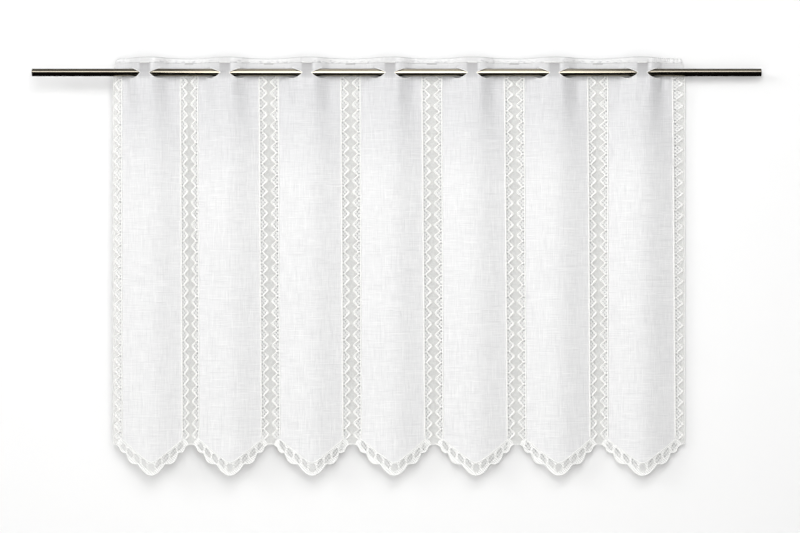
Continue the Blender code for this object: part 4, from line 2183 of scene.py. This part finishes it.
@dataclass(frozen=True)
class Studio:
    """A pale wall close behind the curtain, a pale floor, soft lights and the camera. Sizes in metres,
    and the wall's turn in degrees. The surroundings turn from dark to pale between the horizon and the
    overcast sky, which are heights of the direction that is looked in."""

    wall_depth: float = 23.0 * MM
    wall_turn: float = -1.1
    wall_middle: float = -0.2
    wall_size: Point = (3.4, 2.3)
    floor_height: float = -0.75
    floor_size: float = 4.0
    lights: tuple[OvalLight, ...] = LIGHTS
    view_width: float = 1.1456
    lens: float = 120.0
    sensor: float = 36.0
    horizon: float = -0.05
    overcast_from: float = 0.35
    surroundings: float = 0.5

    def stage_sheet(
        self, name: str, size: Point, move: Matrix, material: bpy.types.Material
    ) -> bpy.types.Object:
        """Add a flat sheet of the stage.

        Args:
            name: its name.
            size: its width and length.
            move: where it goes.
            material: its material.

        Returns:
            The new object.
        """
        mesh = bmesh.new()
        bmesh.ops.create_grid(mesh, x_segments=1, y_segments=1, size=0.5)
        bmesh.ops.scale(mesh, verts=mesh.verts, vec=(*size, 1))
        bmesh.ops.transform(mesh, verts=mesh.verts, matrix=move)
        sheet = add_piece(name, mesh, material)
        return sheet

    def build_stage(self) -> None:
        """Build the wall and the floor."""
        # Matt wall paint: an even white ground that takes soft shadows. Seen from behind it is clear.
        plaster, shader = new_material("matt wall paint", Base_Color=linear("#DDDDDD"), Roughness=1.0)
        tree = plaster.node_tree
        side = add_node(tree, "ShaderNodeNewGeometry")
        clear = add_node(tree, "ShaderNodeBsdfTransparent")
        seen = add_node(
            tree,
            "ShaderNodeMixShader",
            {0: side.outputs["Backfacing"], 1: shader.outputs[0], 2: clear.outputs[0]},
        )
        tree.links.new(seen.outputs[0], tree.nodes["Material Output"].inputs["Surface"])
        upright = (
            Matrix.Translation((VIEW_X, self.wall_depth, self.wall_middle))
            @ Matrix.Rotation(math.radians(self.wall_turn), 4, "Z")
            @ Matrix.Rotation(math.radians(90), 4, "X")
        )
        wall = self.stage_sheet("wall", self.wall_size, upright, plaster)
        wall.visible_glossy = False

        # Matt floor paint, a shade darker, which throws a little light up at the wall.
        paint, _ = new_material("matt floor paint", Base_Color=linear("#C8C7C4"), Roughness=0.9)
        level = Matrix.Translation((VIEW_X, -self.floor_size / 2 + self.wall_depth, self.floor_height))
        floor = self.stage_sheet("floor", (self.floor_size, self.floor_size), level, paint)
        floor.visible_glossy = False

    def build_lights(self) -> None:
        """Build the lights and the pale surroundings."""
        for light in self.lights:
            light.add()

        world = bpy.data.worlds.new("pale studio")
        world.use_nodes = True
        tree = world.node_tree
        place = add_node(tree, "ShaderNodeTexCoord")
        parts = add_node(tree, "ShaderNodeSeparateXYZ", {0: place.outputs["Generated"]})
        share = add_node(
            tree,
            "ShaderNodeMapRange",
            {"Value": parts.outputs["Z"], "From Min": self.horizon, "From Max": self.overcast_from},
        )
        colour = add_node(
            tree,
            "ShaderNodeMix",
            {"Factor": share.outputs[0], "A": linear("#2A2826"), "B": linear("#F4F5F7")},
            data_type="RGBA",
        )
        back = tree.nodes["Background"]
        tree.links.new(colour.outputs["Result"], back.inputs["Color"])
        back.inputs["Strength"].default_value = self.surroundings
        bpy.context.scene.world = world

    def build_camera(self) -> None:
        """Build the camera, straight in front of the curtain."""
        data = bpy.data.cameras.new("camera")
        data.lens = self.lens
        data.sensor_width = self.sensor
        camera = bpy.data.objects.new("camera", data)
        distance = self.view_width * self.lens / self.sensor
        camera.location = (VIEW_X, -distance, VIEW_Z)
        camera.rotation_euler = (math.radians(90), 0, 0)
        bpy.context.scene.collection.objects.link(camera)
        bpy.context.scene.camera = camera
        bpy.context.scene.view_settings.view_transform = "Standard"


def main() -> None:
    """Build every piece in order and report each."""
    logging.basicConfig(level=logging.INFO, format="%(message)s")
    cloth = HungCloth()
    strips = LaceStrips(cloth)
    border = LaceBorder(cloth)
    dense = DenseKnit().material()
    ground = KnittedGround(cloth, strips, border).build(
        LinenKnit().material(), SheerKnit().material(), dense
    )
    chain = StitchedYarn("chain-stitched polyester yarn", 2.6 * MM).material()
    inlaid = StitchedYarn("inlaid polyester yarn", 2.6 * MM, "#DFDFDD", "#D4D4D2").material()
    satin = StitchedYarn("satin-stitched polyester yarn", 1.6 * MM).material()
    trimmings = [
        LaceNet(cloth, strips, border).build(NetThread().material()),
        LaceCords(cloth, strips, border).build(inlaid),
        BorderEdging(cloth, border).build(chain),
        EyeletStitching(cloth).build(satin),
        TopHem(cloth).build(FoldedTricot().material()),
    ]
    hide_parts(CLOTH_NODE)
    for piece in [ground, *trimmings]:
        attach(piece, BODY)
        log.info("%s: %d faces", piece.name, len(piece.data.polygons))
    rod = Rod().build(AntiqueBrass().material())
    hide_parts(ROD_NODE)
    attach(rod, BODY)
    log.info("%s: %d faces", rod.name, len(rod.data.polygons))

    studio = Studio()
    studio.build_stage()
    studio.build_lights()
    studio.build_camera()


if __name__ == "__main__":
    main()
